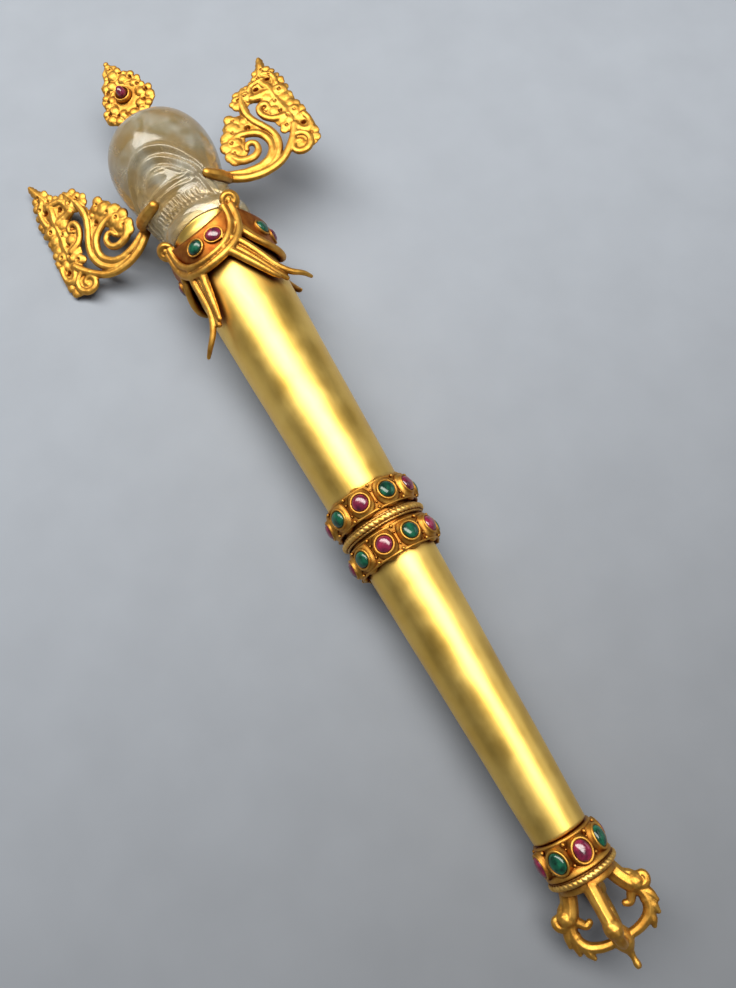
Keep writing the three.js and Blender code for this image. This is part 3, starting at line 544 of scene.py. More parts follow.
def middle_band(side):
    node = f"{side}_gem_band"
    low, high = heights(node)
    bore = inner_radius(node)
    names = stone_names(side)
    seats = [stone_seat(n) for n in names]
    wall = bore + 0.55
    half_tall = (high - low) / 2
    centre = (low + high) / 2
    inset = 0.8
    corners = [(bore, low + inset), (wall + 0.25, low + inset), (wall + 0.4, low + inset + 0.45),
               (wall, low + inset + 0.9), (wall, high - inset - 0.9), (wall + 0.4, high - inset - 0.45),
               (wall + 0.25, high - inset), (bore, high - inset), (bore, low + inset)]
    shape = turned(corners, SHAFT_SEGMENTS)
    petal = math.pi * (wall + 0.6) / len(seats) - 0.55
    for seat in seats:
        collet(shape, seat, wall + 0.2, petal, half_tall - 0.1)
        between = seat["degrees"] + 180 / len(seats)
        for share in (-0.72, 0.72):
            ball(shape, around(wall + 0.5, between, centre + half_tall * share), BIG_GRANULE)
            ball(shape, around(wall + 0.3, between, centre + half_tall * share * 0.5), SMALL_GRANULE)
    piece(f"{side}_band_collets", shape, CAST_GOLD, "cast_gold", node)
    for name in names:
        cabochon_stone(name)


def foot_band():
    low, high = heights("foot_gem_band")
    names = stone_names("foot")
    seats = [stone_seat(n) for n in names]
    wall = min(seat["base"] for seat in seats) - 1.1
    flare = outer_radius("foot_rope_ring") - 0.5
    shaft_end = heights("lower_shaft")[0] + 1
    rim = 0.3 + max(wall, *[math.hypot(p.x, p.y) for p in points_of("lower_shaft") if p.z < shaft_end])
    corners = [(0, low), (flare - 0.2, low), (flare, low + 0.5), (wall + 0.5, low + 1.7), (wall, low + 2.4),
               (wall, high - 1.7), (rim - 0.2, high - 1.1), (rim, high - 0.7), (rim - 0.2, high - 0.1),
               (0, high - 0.1)]
    shape = turned(corners, SHAFT_SEGMENTS)
    petal = math.pi * (wall + 0.6) / len(seats) - 0.1
    for seat in seats:
        collet(shape, seat, wall + 0.3, petal, high - seat["height"] - 0.05)
        between = seat["degrees"] + 180 / len(seats)
        ball(shape, around(wall + 0.4, between, low + 2.6), BIG_GRANULE)
        ball(shape, around(wall + 0.45, between, high - 1.4), 0.7)
        ball(shape, around(wall + 0.25, between, high - 2.9), SMALL_GRANULE)
    piece("foot_band_collets", shape, CAST_GOLD, "cast_gold", "foot_gem_band")
    for name in names:
        cabochon_stone(name)


# Rope rings

def twisted_wire(shape, radius, height, thickness, strands, phase=0.0):
    """A ring of twisted wire: a round bar whose section turns as it goes round."""
    wire = bmesh.new()
    segments = strands * 8
    circle = bmesh.ops.create_circle(wire, segments=12, radius=1.0)["verts"]
    for vert in circle:
        x, y = vert.co.x, vert.co.y
        vert.co = Vector((0, -radius - x * thickness, height + y * thickness))
    edges = list(wire.edges)
    bmesh.ops.spin(wire, geom=circle + edges, cent=(0, 0, 0), axis=(0, 0, 1), angle=2 * math.pi,
                   steps=segments, use_merge=True)
    bmesh.ops.remove_doubles(wire, verts=wire.verts, dist=1e-4)
    for vert in wire.verts:
        flat = Vector((vert.co.x, vert.co.y, 0))
        heart = flat.normalized() * radius + Vector((0, 0, height))
        arm = vert.co - heart
        section = math.atan2(vert.co.z - height, flat.length - radius)
        along = math.atan2(vert.co.y, vert.co.x) * strands
        vert.co = heart + arm * (0.74 + 0.26 * abs(math.cos(section + along / 2 + phase)) ** 0.7)
    bmesh.ops.recalc_face_normals(wire, faces=wire.faces)
    merge(shape, wire)


def middle_rope():
    node = "middle_rope_ring"
    low, high = heights(node)
    bore = inner_radius(node)
    outer = outer_radius(node)
    centre = (low + high) / 2
    thick = (high - low) * 0.32
    wall = bore + 0.9
    shape = turned([(bore, low), (wall, low), (wall, high), (bore, high), (bore, low)], SHAFT_SEGMENTS)
    twisted_wire(shape, outer - thick, centre, thick, 52)
    for side in (-1, 1):
        twisted_wire(shape, outer - 1.5 * thick, centre + side * (thick + 0.1), thick * 0.5, 76, side)
    piece("middle_rope_wires", shape, LIT_WIRE_GOLD, "cast_gold", node)


def foot_rope():
    node = "foot_rope_ring"
    low, high = heights(node)
    outer = outer_radius(node)
    centre = (low + high) / 2
    thick = (high - low) * 0.42
    shape = turned([(inner_radius(node), low), (outer - thick, low), (outer - thick, high),
                    (inner_radius(node), high), (inner_radius(node), low)], SHAFT_SEGMENTS)
    twisted_wire(shape, outer - thick, centre, thick, 44)
    piece("foot_rope_wires", shape, LIT_WIRE_GOLD, "cast_gold", node)


# Crystal skull

SKULL_PROFILE = [
    (0.77, 0), (0.805, 0.03), (0.815, 0.06), (0.795, 0.09), (0.755, 0.112), (0.72, 0.15), (0.74, 0.18),
    (0.79, 0.22), (0.83, 0.28), (0.85, 0.35), (0.885, 0.43), (0.95, 0.53), (0.99, 0.61), (1, 0.68),
    (0.98, 0.76), (0.91, 0.84), (0.78, 0.91), (0.55, 0.965), (0.28, 0.992), (0.0, 1.0),
]
SKULL_SEGMENTS = 220
SKULL_HALF_WIDTH = 21.2
FACE_TURN = -10.0
TOOTH_PITCH = 6.6


def swell(value, centre, width):
    return math.exp(-(((value - centre) / width) ** 2))


def fade(value, start, end):
    t = min(1, max(0, (value - start) / (end - start)))
    return t * t * (3 - 2 * t)


def face_relief(degrees, share):
    """Height of the carved face in millimetres: nested brow arches, nose, cheeks, lips and teeth.
    The arches sink towards the sides, and all ends before the back of the skull."""
    off = degrees - FACE_TURN
    wide = abs(off)
    front = 1 - fade(wide, 56, 74)
    drop = 0.000073 * off * off
    arches = (1.3 * swell(share + drop, 0.565, 0.021) + 1.1 * swell(share + drop * 1.3, 0.49, 0.018)
              + 0.8 * swell(share + drop * 1.6, 0.43, 0.013) - 0.7 * swell(share + drop, 0.527, 0.014)
              - 0.7 * swell(share + drop * 1.4, 0.458, 0.012))
    nose = swell(off, 0, 15) * swell(share, 0.375, 0.03)
    cheek = swell(wide, 42, 12) * swell(share, 0.34, 0.05)
    lips = (swell(share, 0.292, 0.012) + 0.7 * swell(share, 0.25, 0.01)) * (1 - fade(wide, 36, 52))
    relief = arches + 1.6 * nose + 0.9 * cheek + 0.8 * lips
    row = fade(share, 0.1, 0.112) * (1 - fade(share, 0.19, 0.205)) * (1 - fade(wide, 38, 44))
    gap = abs(math.cos(math.pi * off / TOOTH_PITCH))
    tooth = row * (1.5 * (1 - gap ** 5) - 0.6)
    return front * relief + tooth


def crystal_skull():
    node = "crystal_skull"
    low, high = heights(node)
    tall = high - low
    wide = SKULL_HALF_WIDTH
    profile = [(r * wide, low + share * tall) for r, share in smooth_profile(SKULL_PROFILE, 8)]
    shape = turned([(0, low), *profile], SKULL_SEGMENTS)
    for vert in shape.verts:
        share = (vert.co.z - low) / tall
        reach = math.hypot(vert.co.x, vert.co.y)
        if reach > wide * 0.3 and share > 0.085:
            degrees = math.degrees(math.atan2(vert.co.x, -vert.co.y))
            out = Vector((vert.co.x, vert.co.y, 0)) / reach
            vert.co += out * face_relief(degrees, share)
        vert.co.x += HEAD_OFFSET * fade(share, 0.06, 0.2)
    piece("crystal_skull_carving", shape, CRYSTAL, "crystal", node)


# Scroll ears. Places are (out from the hinge, up the staff, radius), on an ear as tall as drawn.

EAR_STEMS = [
    [(0.6, 4.6, 1.5), (1.2, 2.3, 1.6), (3.8, -1.5, 1.6), (8, -5.2, 1.6), (14.1, -8.2, 1.55),
     (21.3, -8.9, 1.5), (27.8, -7.1, 1.45), (33, -2.7, 1.45), (36.5, 1.4, 1.5), (39, 5.5, 1.6)],
    [(3.4, 0.6, 0.8), (8.6, -2.7, 1.2), (15.2, -5.1, 1.45), (21.1, -4.9, 1.6), (24.9, -2.4, 1.6),
     (27.1, 2, 1.5), (26.6, 6.8, 1.5), (24.6, 10.2, 1.45), (21.3, 12.2, 1.4), (17.9, 13.2, 1.3),
     (14.5, 13, 1.2)],
    [(16.6, -7, 0.8), (22.8, -7, 1.2), (27.7, -3.2, 1.4), (30, 1.8, 1.45), (30, 7, 1.5), (28.2, 12, 1.5),
     (26, 16.8, 1.5), (24.9, 21.5, 1.5), (25.2, 26.1, 1.5), (26.2, 30.1, 1.4), (27.6, 34, 1.2),
     (28.6, 36.4, 0.9)],
    [(11.5, 5, 1.8), (12.4, 2.4, 1.6), (16.2, 0.5, 1.5), (20, 1.1, 1.4), (21.9, 4.3, 1.3), (20.9, 7.2, 1.2),
     (18.6, 7.3, 1.1), (17.5, 5.3, 1)],
    [(37.5, 11.8, 1.6), (35, 12.4, 1.5), (32.1, 14.2, 1.3), (30.3, 17, 1.3), (29.9, 19.9, 1.3),
     (31.2, 22.2, 1.3), (33.5, 22, 1.2), (34, 19.9, 1), (32.4, 18.9, 0.9)],
    [(36.5, 1.4, 1.3), (39.7, 0.2, 1.35), (41.4, -2.8, 1.35), (40.3, -6.3, 1.35), (37.1, -8, 1.3),
     (34.2, -6.6, 1.25), (34.1, -3.9, 1.15), (36.1, -2.4, 1), (38, -3.2, 0.9), (37.6, -5, 0.8)],
    [(38.5, 9, 2), (39.3, 14, 2.4), (38.6, 19.5, 2.6), (38.4, 25, 2.6), (38, 29, 1.8), (37, 33, 1.5),
     (37.4, 38, 2.2), (38.7, 42.4, 1.9), (39.8, 45.6, 1.5), (40.5, 48, 1.2), (41, 49.8, 0.9)],
    [(30, 27.5, 1.6), (33.6, 27.2, 2.2), (37, 27, 2)],
    [(30.3, 27, 1.3), (30.4, 31, 1.2), (31.6, 34.4, 1.3), (34.2, 35.6, 1.5), (37.5, 36, 1.5)],
    [(41.8, 29.5, 1.2), (42.3, 33.4, 1.2), (41.6, 37, 1.3), (39.4, 39.4, 1.5)],
    [(44.6, 8.5, 1.4), (45.2, 4.8, 1.2), (44, 1.2, 1.5), (41.5, 0.9, 1.5), (40, 3.6, 1.2)],
]
EAR_LOBES = [
    (19.4, 20.6, 2.3), (17.6, 23, 2), (17, 18.2, 2.8), (14.8, 15.4, 2.6), (12.9, 15.2, 2.1),
    (14.6, 11, 2.8), (11, 10.6, 2.4), (13.6, 7, 2.6), (10.9, 5.6, 2.4), (11.4, 3, 2.1),
    (22.4, 19.4, 1.4), (23.3, 27.5, 1.9), (22.4, 29.6, 1.6), (24.6, 31.6, 1.9), (25.6, 34.4, 1.8),
    (28, 33.8, 2.2), (30.4, 35.6, 1.8), (28.6, 30, 2.8), (33.5, 37.2, 1.7), (35.7, 39.2, 1.9),
    (36.8, 43, 1.6), (41.4, 42.6, 1.7), (42.5, 39.4, 1.7), (43.5, 35, 1.5), (44.2, 31.2, 1.5),
    (41.6, 25.4, 2.8), (44.2, 25.8, 1.4), (43.8, 21.4, 1.5), (41.6, 21, 2.2), (35.6, 25, 2.4),
    (36.8, 20.6, 2), (35.4, 16.8, 2.2), (42.4, 16.6, 2), (44.1, 15.4, 1.7), (44.9, 11.6, 1.8),
    (42, 12.4, 2.6), (42.6, 8.6, 1.9), (36.2, 7.2, 2.3), (34.6, 5.9, 1.6), (36.4, 10.6, 2.2),
    (44.7, -1, 1.8), (43.7, -4.4, 1.8), (42.4, -1.8, 2), (38.4, -5, 1.4), (39.4, 44.4, 1.9),
    (40.2, 46.6, 1.7), (40.8, 48.6, 1.4), (38.6, 36.6, 1.9), (38.4, 31.6, 2),
]
# Small hollows in the ear's face: (out, up, radius, depth)
EAR_HOLLOWS = [
    (39.6, 34.4, 1.3, 1.6), (33.4, 31.5, 1.4, 1.6), (42.6, 4.7, 1.3, 1.6), (41.4, 25.3, 1.1, 0.9),
    (22.4, 15.2, 1.5, 1.6), (36.2, 6.9, 1.1, 0.8), (38.6, 10.9, 1.0, 0.7), (37.2, 15.2, 1.0, 0.7),
    (28.2, 30.6, 1.1, 0.7), (16, 15.6, 1.0, 0.6), (13.6, 11, 1.1, 0.7), (12.4, 5.8, 1.0, 0.6),
    (18.6, 21.4, 1.0, 0.6), (42.2, 12.4, 1.0, 0.6), (37.4, 20.8, 0.9, 0.6), (43, -2, 1.1, 0.7),
    (36.6, 38.2, 0.9, 0.6), (39.6, 42.6, 0.9, 0.6), (24.8, 30.4, 0.9, 0.6), (41.2, 37.2, 0.9, 0.6),
]
# Thin plate between the ridges: (out, up, radius)
EAR_LEAVES = [
    (38.5, 12, 5), (40, 19.5, 4.6), (38.5, 26, 5.4), (38, 33, 4.8), (38.6, 40, 3.6), (33.4, 31.6, 4),
    (29.4, 31, 4.2), (25.6, 29, 3.4), (42, 3, 4.2), (41, -2.6, 4), (37.6, -4.2, 4), (39.4, 7.4, 4.4),
    (14.4, 7.6, 4.2), (14.8, 13.2, 4.4), (18, 17.4, 4.6), (21.2, 19.6, 3), (12.6, 4.4, 3.4),
    (28.4, 3, 2.4), (28.4, 9, 2.4), (26, 13.4, 3), (22.8, 15.6, 3), (24.8, 23.6, 2), (21, -6.8, 2.2),
    (27, -4.6, 2.2), (9, -3.6, 1.8), (15, -6.6, 2), (33.4, 18.4, 2.6), (43, 30, 2.4),
]
# The end of an ear's stem where it lies over the crystal: (degrees, height, radius)
EAR_GRIPS = {
    -1: [(90, 304.5, 2.2), (75, 302.5, 2.4), (58, 300, 2.4), (43, 298.2, 2.3), (30, 297.4, 2.0)],
    1: [(92, 303, 2.1), (80, 300.8, 2.2), (68, 299.6, 2.3), (56, 299, 2.2), (46, 299.4, 1.9)],
}
GRIP_REACH = 18.9
EAR_FLATTENING = 0.8
EAR_GRAIN = 0.26
# How much stems, lobes and leaves are drawn fuller than listed, and how flat the last two are
STEM_FULLNESS = 1.12
LOBE_FULLNESS = 1.22
LEAF_FULLNESS = 1.2
LOBE_FLATNESS = 0.52
LEAF_FLATNESS = 0.22
# A stem thicker than this is set back, so that it doesn't stand out above the lobes
FLUSH_STEM = 1.6
# The right ear's upper part is bent down
RIGHT_EAR_DROP = 4.5


def press_hollows(shape, hollows, across=1.0, up=1.0):
    """Presses round hollows into the front of a casting that faces -Y."""
    for vert in shape.verts:
        if -3 < vert.co.y < 0.1:
            for x, z, radius, depth in hollows:
                away = ((vert.co.x - across * x) ** 2 + (vert.co.z - up * z) ** 2) / (radius * radius)
                if away < 1:
                    vert.co.y += depth * (1 - away) ** 2 * min(1, (0.1 - vert.co.y) / 0.8)


def uneven(shape, size, height):
    """The small unevenness of a hand-finished casting."""
    for vert in shape.verts:
        vert.co += Vector((0, 1, 0)) * height * noise.noise(vert.co / size)


def scroll_ear(node, side):
    hinge_height = heights("left_scroll_ear")[1] - EAR_DRAWN_HEIGHT
    stretch = (heights(node)[1] - hinge_height) / EAR_DRAWN_HEIGHT
    turn = Matrix.Rotation(math.radians(side * EAR_SWEEP), 4, "Z")
    place = Matrix.Translation((side * EAR_HINGE + HEAD_OFFSET, 0, hinge_height)) @ turn
    strokes = []
    for stem in EAR_STEMS:
        strokes.append([(Vector((side * out, -0.5 + 1.6 * max(0, radius - FLUSH_STEM), up * stretch)),
                         radius * STEM_FULLNESS) for out, up, radius in stem])
    shape = bars(strokes)
    for out, up, radius in EAR_LOBES:
        ball(shape, Vector((side * out, -0.3, up * stretch)), radius * LOBE_FULLNESS, (1, LOBE_FLATNESS, 1))
    for out, up, radius in EAR_LEAVES:
        ball(shape, Vector((side * out, 0, up * stretch)), radius * LEAF_FULLNESS, (1, LEAF_FLATNESS, 1))
    bmesh.ops.transform(shape, matrix=Matrix.Diagonal((1, EAR_FLATTENING, 1, 1)), verts=shape.verts)
    to_ear = place.inverted() @ Matrix.Translation((HEAD_OFFSET, 0, 0))
    merge(shape, bars([[(to_ear @ around(GRIP_REACH, side * degrees, height), radius)
                        for degrees, height, radius in EAR_GRIPS[side]]]))
    shape = cast(shape, EAR_GRAIN)
    press_hollows(shape, EAR_HOLLOWS, side, stretch)
    uneven(shape, 1.7, 0.06)
    if side > 0:
        for vert in shape.verts:
            vert.co.z -= RIGHT_EAR_DROP * fade(vert.co.z, 24, 44)
    bmesh.ops.transform(shape, matrix=place, verts=shape.verts)
    piece(f"{node}_casting", shape, CAST_GOLD, "cast_gold", node)


# Flame crest. Places are (across, up from its foot, radius).

CREST_LOBES = [
    (0, 38.2, 1.3), (0, 36.4, 1.6), (0, 34.2, 2), (2.7, 32.4, 1.7), (-2.6, 31.6, 1.6), (0, 31, 2.8),
    (4.4, 29.4, 1.6), (6.6, 27.4, 2), (-5, 27.4, 2), (3, 27, 2.6), (-2.4, 27, 2.6), (8.3, 24.2, 1.7),
    (-6.9, 23.6, 1.9), (6.2, 22.6, 2.2), (8.6, 20.2, 1.6), (-7.6, 19.8, 1.9), (-5.2, 21, 2.4),
    (10.4, 17.4, 1.9), (-9.8, 16.8, 1.9), (9.6, 14, 2.4), (-9, 13, 2.3), (6.8, 17, 2.6),
    (-6.4, 16, 2.6), (7.4, 10.8, 2), (-6.6, 10.6, 2), (4.6, 12.6, 2.4), (-3.9, 12.2, 2.4),
    (3.6, 9.6, 1.8), (-3.2, 9.4, 1.8), (0.2, 10.4, 2.2),
]
CREST_HOLLOWS = [
    (0.1, 34.4, 0.9, 0.7), (3.4, 30.4, 0.9, 0.8), (-2.6, 29.2, 0.9, 0.8), (6, 26, 1, 0.8),
    (-5, 25.2, 1, 0.8), (7.2, 21.4, 1, 0.8), (-6.8, 21, 1, 0.8), (9, 16.6, 1.1, 0.8),
    (-8.6, 15.6, 1.1, 0.8), (6.4, 13.2, 1.1, 0.8), (-5.8, 12.8, 1.1, 0.8), (2.4, 11.6, 1, 0.8),
    (-2.2, 11.6, 1, 0.8),
]
# Curled ridges: lines of (across, up)
CREST_SWIRLS = [
    [(3.6, 13.4), (6.4, 14.6), (8, 17.4), (6.4, 19.4), (5, 17.6)],
    [(-3.4, 13), (-6.2, 14), (-7.6, 16.8), (-6, 18.6), (-4.8, 16.8)],
    [(3.2, 24.4), (5.6, 23.6), (7, 25.4), (5.4, 27.4)],
    [(-3, 23.8), (-5.2, 23), (-6.2, 24.8), (-4.6, 26.6)],
    [(0.4, 27.4), (2.4, 28), (2.6, 30.4), (0.6, 31.4), (-1, 33.4), (0, 36)],
]
CREST_FLATTENING = 0.55
CREST_GRAIN = 0.22
CREST_PLATE_GRAIN = 0.42


def crest_plate(place):
    """The CAD's outline of the crest as a thin plate with rounded edges."""
    solid = bmesh.new()
    solid.from_mesh(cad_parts["flame_crest"].data)
    bmesh.ops.transform(solid, matrix=place, verts=solid.verts)
    plate = cast(solid, CREST_PLATE_GRAIN, 4)
    bmesh.ops.transform(plate, matrix=Matrix.Diagonal((1, 0.5, 1, 1)), verts=plate.verts)
    return plate


def flame_crest():
    node = "flame_crest"
    seat = stone_seat("crest_ruby")
    stone = UNLAY @ middle("crest_ruby")
    shape = bmesh.new()
    for x, up, radius in CREST_LOBES:
        ball(shape, Vector((x, -0.4, up)), radius * 0.94)
    merge(shape, bars([[(Vector((x, -0.9, up)), 0.75) for x, up in line] for line in CREST_SWIRLS]))
    bmesh.ops.transform(shape, matrix=Matrix.Diagonal((1, CREST_FLATTENING, 1, 1)), verts=shape.verts)
    to_crest = Matrix.Translation((-stone.x, 0, -heights(node)[0]))
    merge(shape, crest_plate(to_crest @ UNLAY))
    shape = cast(shape, CREST_GRAIN)
    press_hollows(shape, CREST_HOLLOWS)
    uneven(shape, 1.5, 0.06)
    bmesh.ops.transform(shape, matrix=to_crest.inverted(), verts=shape.verts)
    base = min(abs(p.y) for p in points_of("crest_ruby"))
    radius = seat["half_up"] + 0.75
    cup = turned([(0, -base), (radius + 0.4, -base), (radius + 0.2, 0.0), (radius, 0.45),
                  (radius - 0.45, 0.55), (radius - 0.7, 0.1), (radius - 0.85, -0.1), (0, -0.1)],
                 STONE_SEGMENTS)
    stand = Matrix.Translation((stone.x, -base, stone.z)) @ Matrix.Rotation(math.pi / 2, 4, "X")
    bmesh.ops.transform(cup, matrix=stand, verts=cup.verts)
    merge(shape, cup)
    piece("flame_crest_casting", shape, CAST_GOLD, "cast_gold", node)
    cabochon_stone("crest_ruby", stand)


# Swag collar. Degrees go from the collar's own front, and heights are up the staff.

SWAG_TURNS = (0, 90, 180, 270)
SWAG_TOP = 280.8
SWAG_BOTTOM = 261.6
SHIELD_TOP = 275.8
RIB_STEP = 2.95
VOLUTE_TURNS = (52.5, 142.5, 232.5, 307.5)
VOLUTE_HEIGHT = 283.4
VOLUTE_TILT = 36
VOLUTE_REACH = 3.5
VOLUTE_DISC = (3.9, 3.9, 0.75, 1)
TAIL_RADIUS = RIB_RADIUS * 1.12
TAIL_FLARE = 24.2
COLLAR_GRAIN = 0.3
# The outer and the inner rib of a ribbon tail, from under the swag to the tip: (degrees, height)
RIGHT_TAIL = (
    [(33, 267), (38.5, 264.9), (51, 258.6), (63.5, 252.9), (76, 249.4), (87, 247.8), (96.5, 247)],
    [(20, 264.2), (26, 261.4), (36, 256.4), (46, 252), (55, 248.9), (60, 247.8)],
)
LEFT_TAIL = (
    [(-29, 267), (-32.5, 263.5), (-33, 256), (-34.5, 249), (-42, 243), (-52, 239), (-59.5, 237.5)],
    [(-15, 263), (-17.2, 260.5), (-20.5, 254.5), (-24, 249), (-27.5, 244.5)],
)
BACK_TAIL = (
    [(150, 266), (140, 259), (130, 253), (121, 249.5), (114, 248)],
    [(160, 263), (151, 257), (143, 252), (136, 249.5)],
)


def collar():
    node = "swag_collar"
    bore = inner_radius(node)
    rib = bore + RIB_RADIUS
    half_width = rib * math.radians(SWAG_HALF_ANGLE)
    shape = bmesh.new()
    fine = bmesh.new()

    def at(degrees, height, radius):
        return around(radius, degrees + COLLAR_TURN, height)

    def hem(share, inset):
        """Degrees and height of a hem line at a share from -1 to 1 along the swag."""
        angle = share * math.pi / 2
        across = (half_width - inset) * math.sin(angle)
        drop = (SWAG_TOP - SWAG_BOTTOM - inset) * abs(math.cos(angle)) ** 0.8
        return math.degrees(across / rib), SWAG_TOP - drop

    def shield(turn):
        """The curved sheet behind a swag's stones, in the second material: the darker copy of the gold,
        painted shade.
        """
        plate = bmesh.new()
        bmesh.ops.create_grid(plate, x_segments=30, y_segments=12, size=1.0)
        for vert in plate.verts:
            degrees, lower = hem(vert.co.x * 0.97, 0.7)
            upper = SHIELD_TOP + 6.5 * (degrees / SWAG_HALF_ANGLE) ** 2
            share = (vert.co.y + 1) / 2
            height = lower + (max(upper, lower + 0.3) - lower) * share
            vert.co = at(turn + degrees, height, bore + 0.7 + 1.7 * share)
        bmesh.ops.recalc_face_normals(plate, faces=plate.faces)
        bmesh.ops.solidify(plate, geom=plate.faces[:], thickness=0.7)
        bmesh.ops.recalc_face_normals(plate, faces=plate.faces)
        for face in plate.faces:
            face.material_index = 1
        merge(fine, plate)

    def hem_line(turn, inset, lift, radius, steps=20):
        line = []
        for index in range(steps + 1):
            degrees, height = hem(-1 + 2 * index / steps, inset)
            line.append((at(turn + degrees, height, rib + lift), radius))
        return line

    def volute(turn):
        """A disc that leans towards the foot, and the line of the spiral wire on it."""
        side = 1 if turn < 180 else -1
        angle = turn + COLLAR_TURN - (0 if turn < 180 else 360)
        facing = angle * 0.35 if abs(angle) < 90 else angle
        stand = (Matrix.Translation(around(bore + 1.8, angle, VOLUTE_HEIGHT)) @ outward_matrix(0, facing, 0)
                 @ Matrix.Rotation(math.radians(VOLUTE_TILT), 4, "X"))
        disc = stand @ Matrix.Diagonal(VOLUTE_DISC)
        bmesh.ops.create_icosphere(shape, subdivisions=3, radius=1.0, matrix=disc)
        line = []
        for index in range(17):
            share = index / 16
            curl = math.radians(-110 + 520 * share)
            reach = VOLUTE_REACH * (1 - 0.86 * share)
            place = Vector((-side * reach * math.cos(curl), reach * math.sin(curl), 0.5 + 0.5 * share))
            line.append((stand @ place, 1.05 - 0.1 * share))
        return line

    def tail_rib(points, tip_reach, tip_radius):
        """A rib that grows thin and bends outwards to its tip."""
        stroke = []
        for index, (degrees, height) in enumerate(points):
            share = index / (len(points) - 1)
            reach = rib + (tip_reach - rib) * fade(share, 0.5, 1)
            thin = share ** 2.2
            stroke.append((at(degrees, height, reach), TAIL_RADIUS * (1 - thin) + tip_radius * thin))
        return stroke

    def beads(line, size, spacing):
        """A row of small beads, like twisted wire, along a line of places."""
        for a, b in zip(line, line[1:]):
            count = max(1, round((b - a).length / spacing))
            for step in range(count):
                ball(fine, a.lerp(b, step / count), size, detail=1)

    def web(outer, inner):
        """The floor of a tail between its ribs, with a row of beads along its middle."""
        spots = list(enumerate(((a[0] + b[0]) / 2, (a[1] + b[1]) / 2) for a, b in zip(outer, inner)))
        strokes.append([(at(*spot, bore + 0.7), 1.5 - 0.1 * index) for index, spot in spots])
        beads([at(*spot, bore + 1.9 - 0.15 * index) for index, spot in spots], 0.5, 0.8)

    strokes = []
    for turn, volute_turn in zip(SWAG_TURNS, VOLUTE_TURNS):
        shield(turn)
        lift = 0.6 if turn % 180 == 0 else 0.0
        strokes.append(hem_line(turn, 0, lift, RIB_RADIUS))
        if turn == 0:
            strokes.append(hem_line(turn, RIB_STEP, lift, RIB_RADIUS * 0.92))
            strokes.append(hem_line(turn, RIB_STEP / 2, lift - 0.7, RIB_RADIUS * 0.8))
        else:
            strokes.append(hem_line(turn, RIB_STEP * 0.8, lift - 0.5, RIB_RADIUS * 0.6))
        strokes.append(volute(volute_turn))
    for outer, inner in (RIGHT_TAIL, LEFT_TAIL):
        strokes += [tail_rib(outer, TAIL_FLARE, 0.75), tail_rib(inner, rib - 0.3, 0.8)]
        web(outer, inner)
    for side in (1, -1):
        for line in BACK_TAIL:
            strokes.append(tail_rib([(side * degrees, height) for degrees, height in line], rib, 0.5))
    merge(shape, bars(strokes))
    names = stone_names("collar")
    seats = [stone_seat(name) for name in names]
    base = min(seat["base"] for seat in seats) - 1.0
    for seat in seats:
        collet(shape, seat, base)
    shape = cast(shape, COLLAR_GRAIN, 1)
    merge(shape, fine)
    piece("swag_collar_casting", shape, CAST_GOLD, "cast_gold", node, second=SHADED_RED_GOLD)
    for name in names:
        cabochon_stone(name)


# Half-vajra foot. Lines are (radius from the axis, height, thickness).

PRONG_TRUNK = [(7.0, 28.4, 2.7), (7.8, 26, 2.7), (9, 23.4, 2.7), (10.4, 21.4, 2.9), (12, 20.1, 2.6),
               (13.7, 19.4, 2.0), (15, 20.2, 1.6), (14.9, 21.7, 1.4), (13.9, 22.1, 1.2)]
PRONG_JAW = [(10.6, 20.2, 2.0), (8.8, 18, 1.5), (7.4, 16.6, 1.25), (6.1, 17, 1.1)]
PRONG_BOW = [(11.2, 20, 2.1), (12.2, 17, 1.95), (12, 14, 1.9), (10.4, 11.5, 1.8), (7.6, 10, 1.65),
             (4.6, 9.3, 1.55), (1.6, 9.2, 1.5)]
FRONT_PRONG = [
    [(7.0, 28.4, 2.6), (8.4, 25.4, 2.4), (10.4, 21.4, 2.25), (11.9, 17.6, 2.3), (12, 15.4, 2.5)],
    [(12, 16, 2.2), (11.2, 13, 1.8), (8.6, 10.8, 1.6), (5, 9.6, 1.5), (1.6, 9.2, 1.5)],
]
PRONG_BROW = [(8.6, 24.6, 1.9), (11.2, 23.4, 1.7), (13, 22.2, 1.2)]
PRONG_SPURS = [
    [(12.2, 18.4, 1.9), (13.8, 16.2, 1.6), (14.7, 13.8, 0.8)],
    [(12, 15.4, 1.9), (12.9, 12.8, 1.6), (13.3, 10.8, 0.8)],
    [(10.8, 12, 1.8), (10.6, 9.6, 1.5), (10.1, 8, 0.8)],
]


# The spike and its hub, up to the hub's shoulder: (radius from the axis, height)
VAJRA_SPIKE = [(0, 0), (0.9, 0.4), (1.15, 1.6), (0.9, 3.2), (1.3, 5), (2.2, 6.2), (3.1, 7.8), (3.1, 10.4),
               (2.3, 12), (1.7, 13.6), (1.5, 20), (1.9, 23.6), (4.2, 25.8), (8.6, 27), (9.4, 27.6)]
# An eye of a prong's head, and the ridge over it: (radius from the axis, height, aside, thickness)
PRONG_EYE = (11.2, 20.6, 1.5, 0.8)
EYE_RIDGE = [(9, 23.4, 1.3, 0.7), (10.6, 22.2, 1.6, 0.7), (12.4, 21.4, 1.3, 0.5)]
CASTING_GRAIN = 0.24


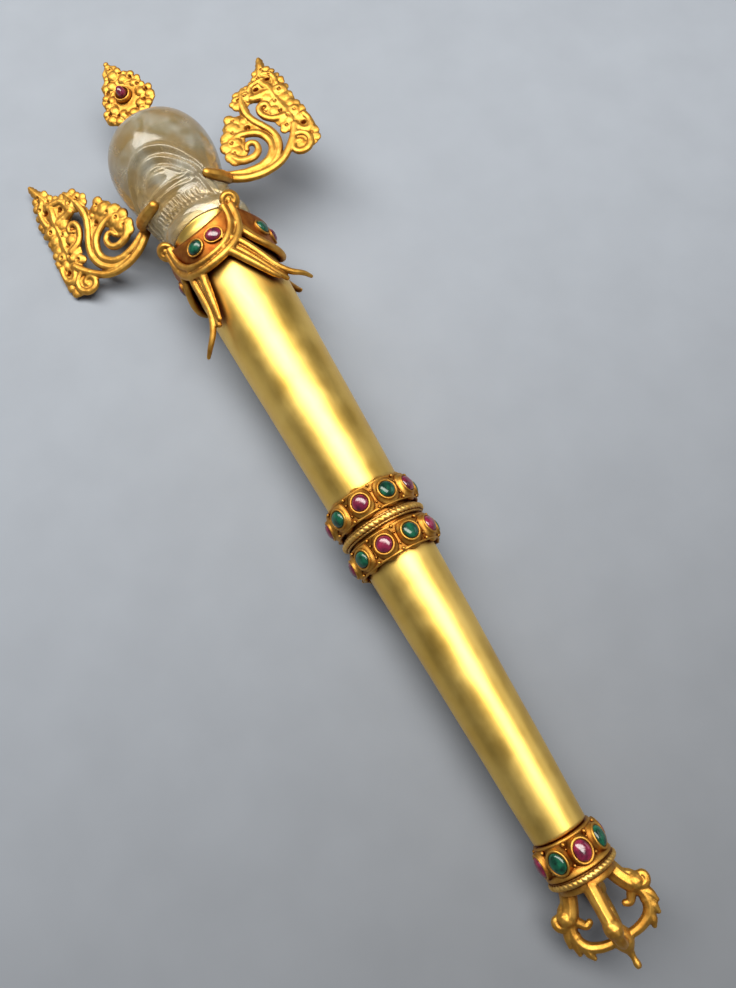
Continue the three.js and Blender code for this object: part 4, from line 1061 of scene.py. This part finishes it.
def half_vajra():
    node = "half_vajra"
    hub_top = heights(node)[1]
    spike = smooth_profile([*VAJRA_SPIKE, (VAJRA_SPIKE[-1][0], hub_top)], 3)
    shape = turned([*spike, (0, hub_top)], 48)
    strokes = []
    for line in FRONT_PRONG:
        strokes.append([(around(radius, 0, height), thick) for radius, height, thick in line])
    ball(shape, around(12.1, 0, 16.4), 2.9, (1, 1, 1.15))
    for turn in (90, 180, 270):
        ball(shape, around(11.6, turn, 21), 3.1)
        for line in (PRONG_TRUNK, PRONG_JAW, PRONG_BOW, PRONG_BROW, *PRONG_SPURS):
            strokes.append([(around(radius, turn, height), thick) for radius, height, thick in line])
        for side in (-1, 1):
            aside = across_at(turn) * side
            radius, height, away, size = PRONG_EYE
            ball(shape, around(radius, turn, height) + aside * away, size)
            strokes.append([(around(radius, turn, height) + aside * away, thick)
                            for radius, height, away, thick in EYE_RIDGE])
    merge(shape, bars(strokes))
    piece("half_vajra_casting", cast(shape, CASTING_GRAIN, 1), CAST_GOLD, "cast_gold", node)


# The object

for shaft_node in ("upper_shaft", "lower_shaft"):
    shaft(shaft_node)
neck_cup()
for band_side in ("upper", "lower"):
    middle_band(band_side)
middle_rope()
foot_band()
foot_rope()
half_vajra()
collar()
crystal_skull()
scroll_ear("left_scroll_ear", -1)
scroll_ear("right_scroll_ear", 1)
flame_crest()


# Floor, light and camera

def floor():
    shape = bmesh.new()
    bmesh.ops.create_grid(shape, x_segments=2, y_segments=2, size=3.0)
    mesh = bpy.data.meshes.new("floor")
    shape.to_mesh(mesh)
    shape.free()
    mesh.materials.append(paper_floor())
    made = bpy.data.objects.new("floor", mesh)
    bpy.context.scene.collection.objects.link(made)


def softbox(name, place, target, width, height, watts, colour, roll):
    data = bpy.data.lights.new(name, "AREA")
    data.shape = "RECTANGLE"
    data.size = width
    data.size_y = height
    data.energy = watts
    data.color = linear(colour)[:3]
    lamp = bpy.data.objects.new(name, data)
    lamp.location = place
    aim = (Vector(target) - Vector(place)).to_track_quat("-Z", "Y")
    lamp.rotation_euler = (Matrix.Rotation(math.radians(roll), 3, "Z") @ aim.to_matrix()).to_euler()
    bpy.context.scene.collection.objects.link(lamp)


def studio():
    world = bpy.data.worlds.new("studio")
    world.use_nodes = True
    background = world.node_tree.nodes["Background"]
    background.inputs["Color"].default_value = linear("#C7CEDA")
    background.inputs["Strength"].default_value = 0.24
    bpy.context.scene.world = world
    bpy.context.scene.view_settings.view_transform = "Standard"
    softbox("ceiling_light", (-0.42, -0.1, 1.0), (-0.42, -0.1, 0), 2.0, 0.56, 32, "#FFFDF4", 39)
    softbox("right_fill", (0.2, 1.3, 0.5), (0, 0, 0), 0.8, 0.5, 1.4, "#F0F4FF", 0)


def camera():
    axis = (middle("foot_rope_ring") - middle("neck_cup")).normalized()
    across = Vector((0, 0, 1)).cross(axis).normalized()
    rising = axis.cross(across)
    lying = Matrix((axis, across, rising)).transposed()
    right = Vector(CAMERA_RIGHT)
    up = Vector(CAMERA_UP)
    view = Matrix((right, up, right.cross(up))).transposed()
    data = bpy.data.cameras.new("camera")
    data.sensor_width = 36
    data.lens = CAMERA_LENS
    data.clip_start = 0.01
    made = bpy.data.objects.new("camera", data)
    place = middle("middle_rope_ring") + lying @ (Vector(CAMERA_PLACE) * MM)
    made.matrix_world = Matrix.Translation(place) @ (lying @ view).to_4x4()
    bpy.context.scene.collection.objects.link(made)
    bpy.context.scene.camera = made


floor()
studio()
camera()
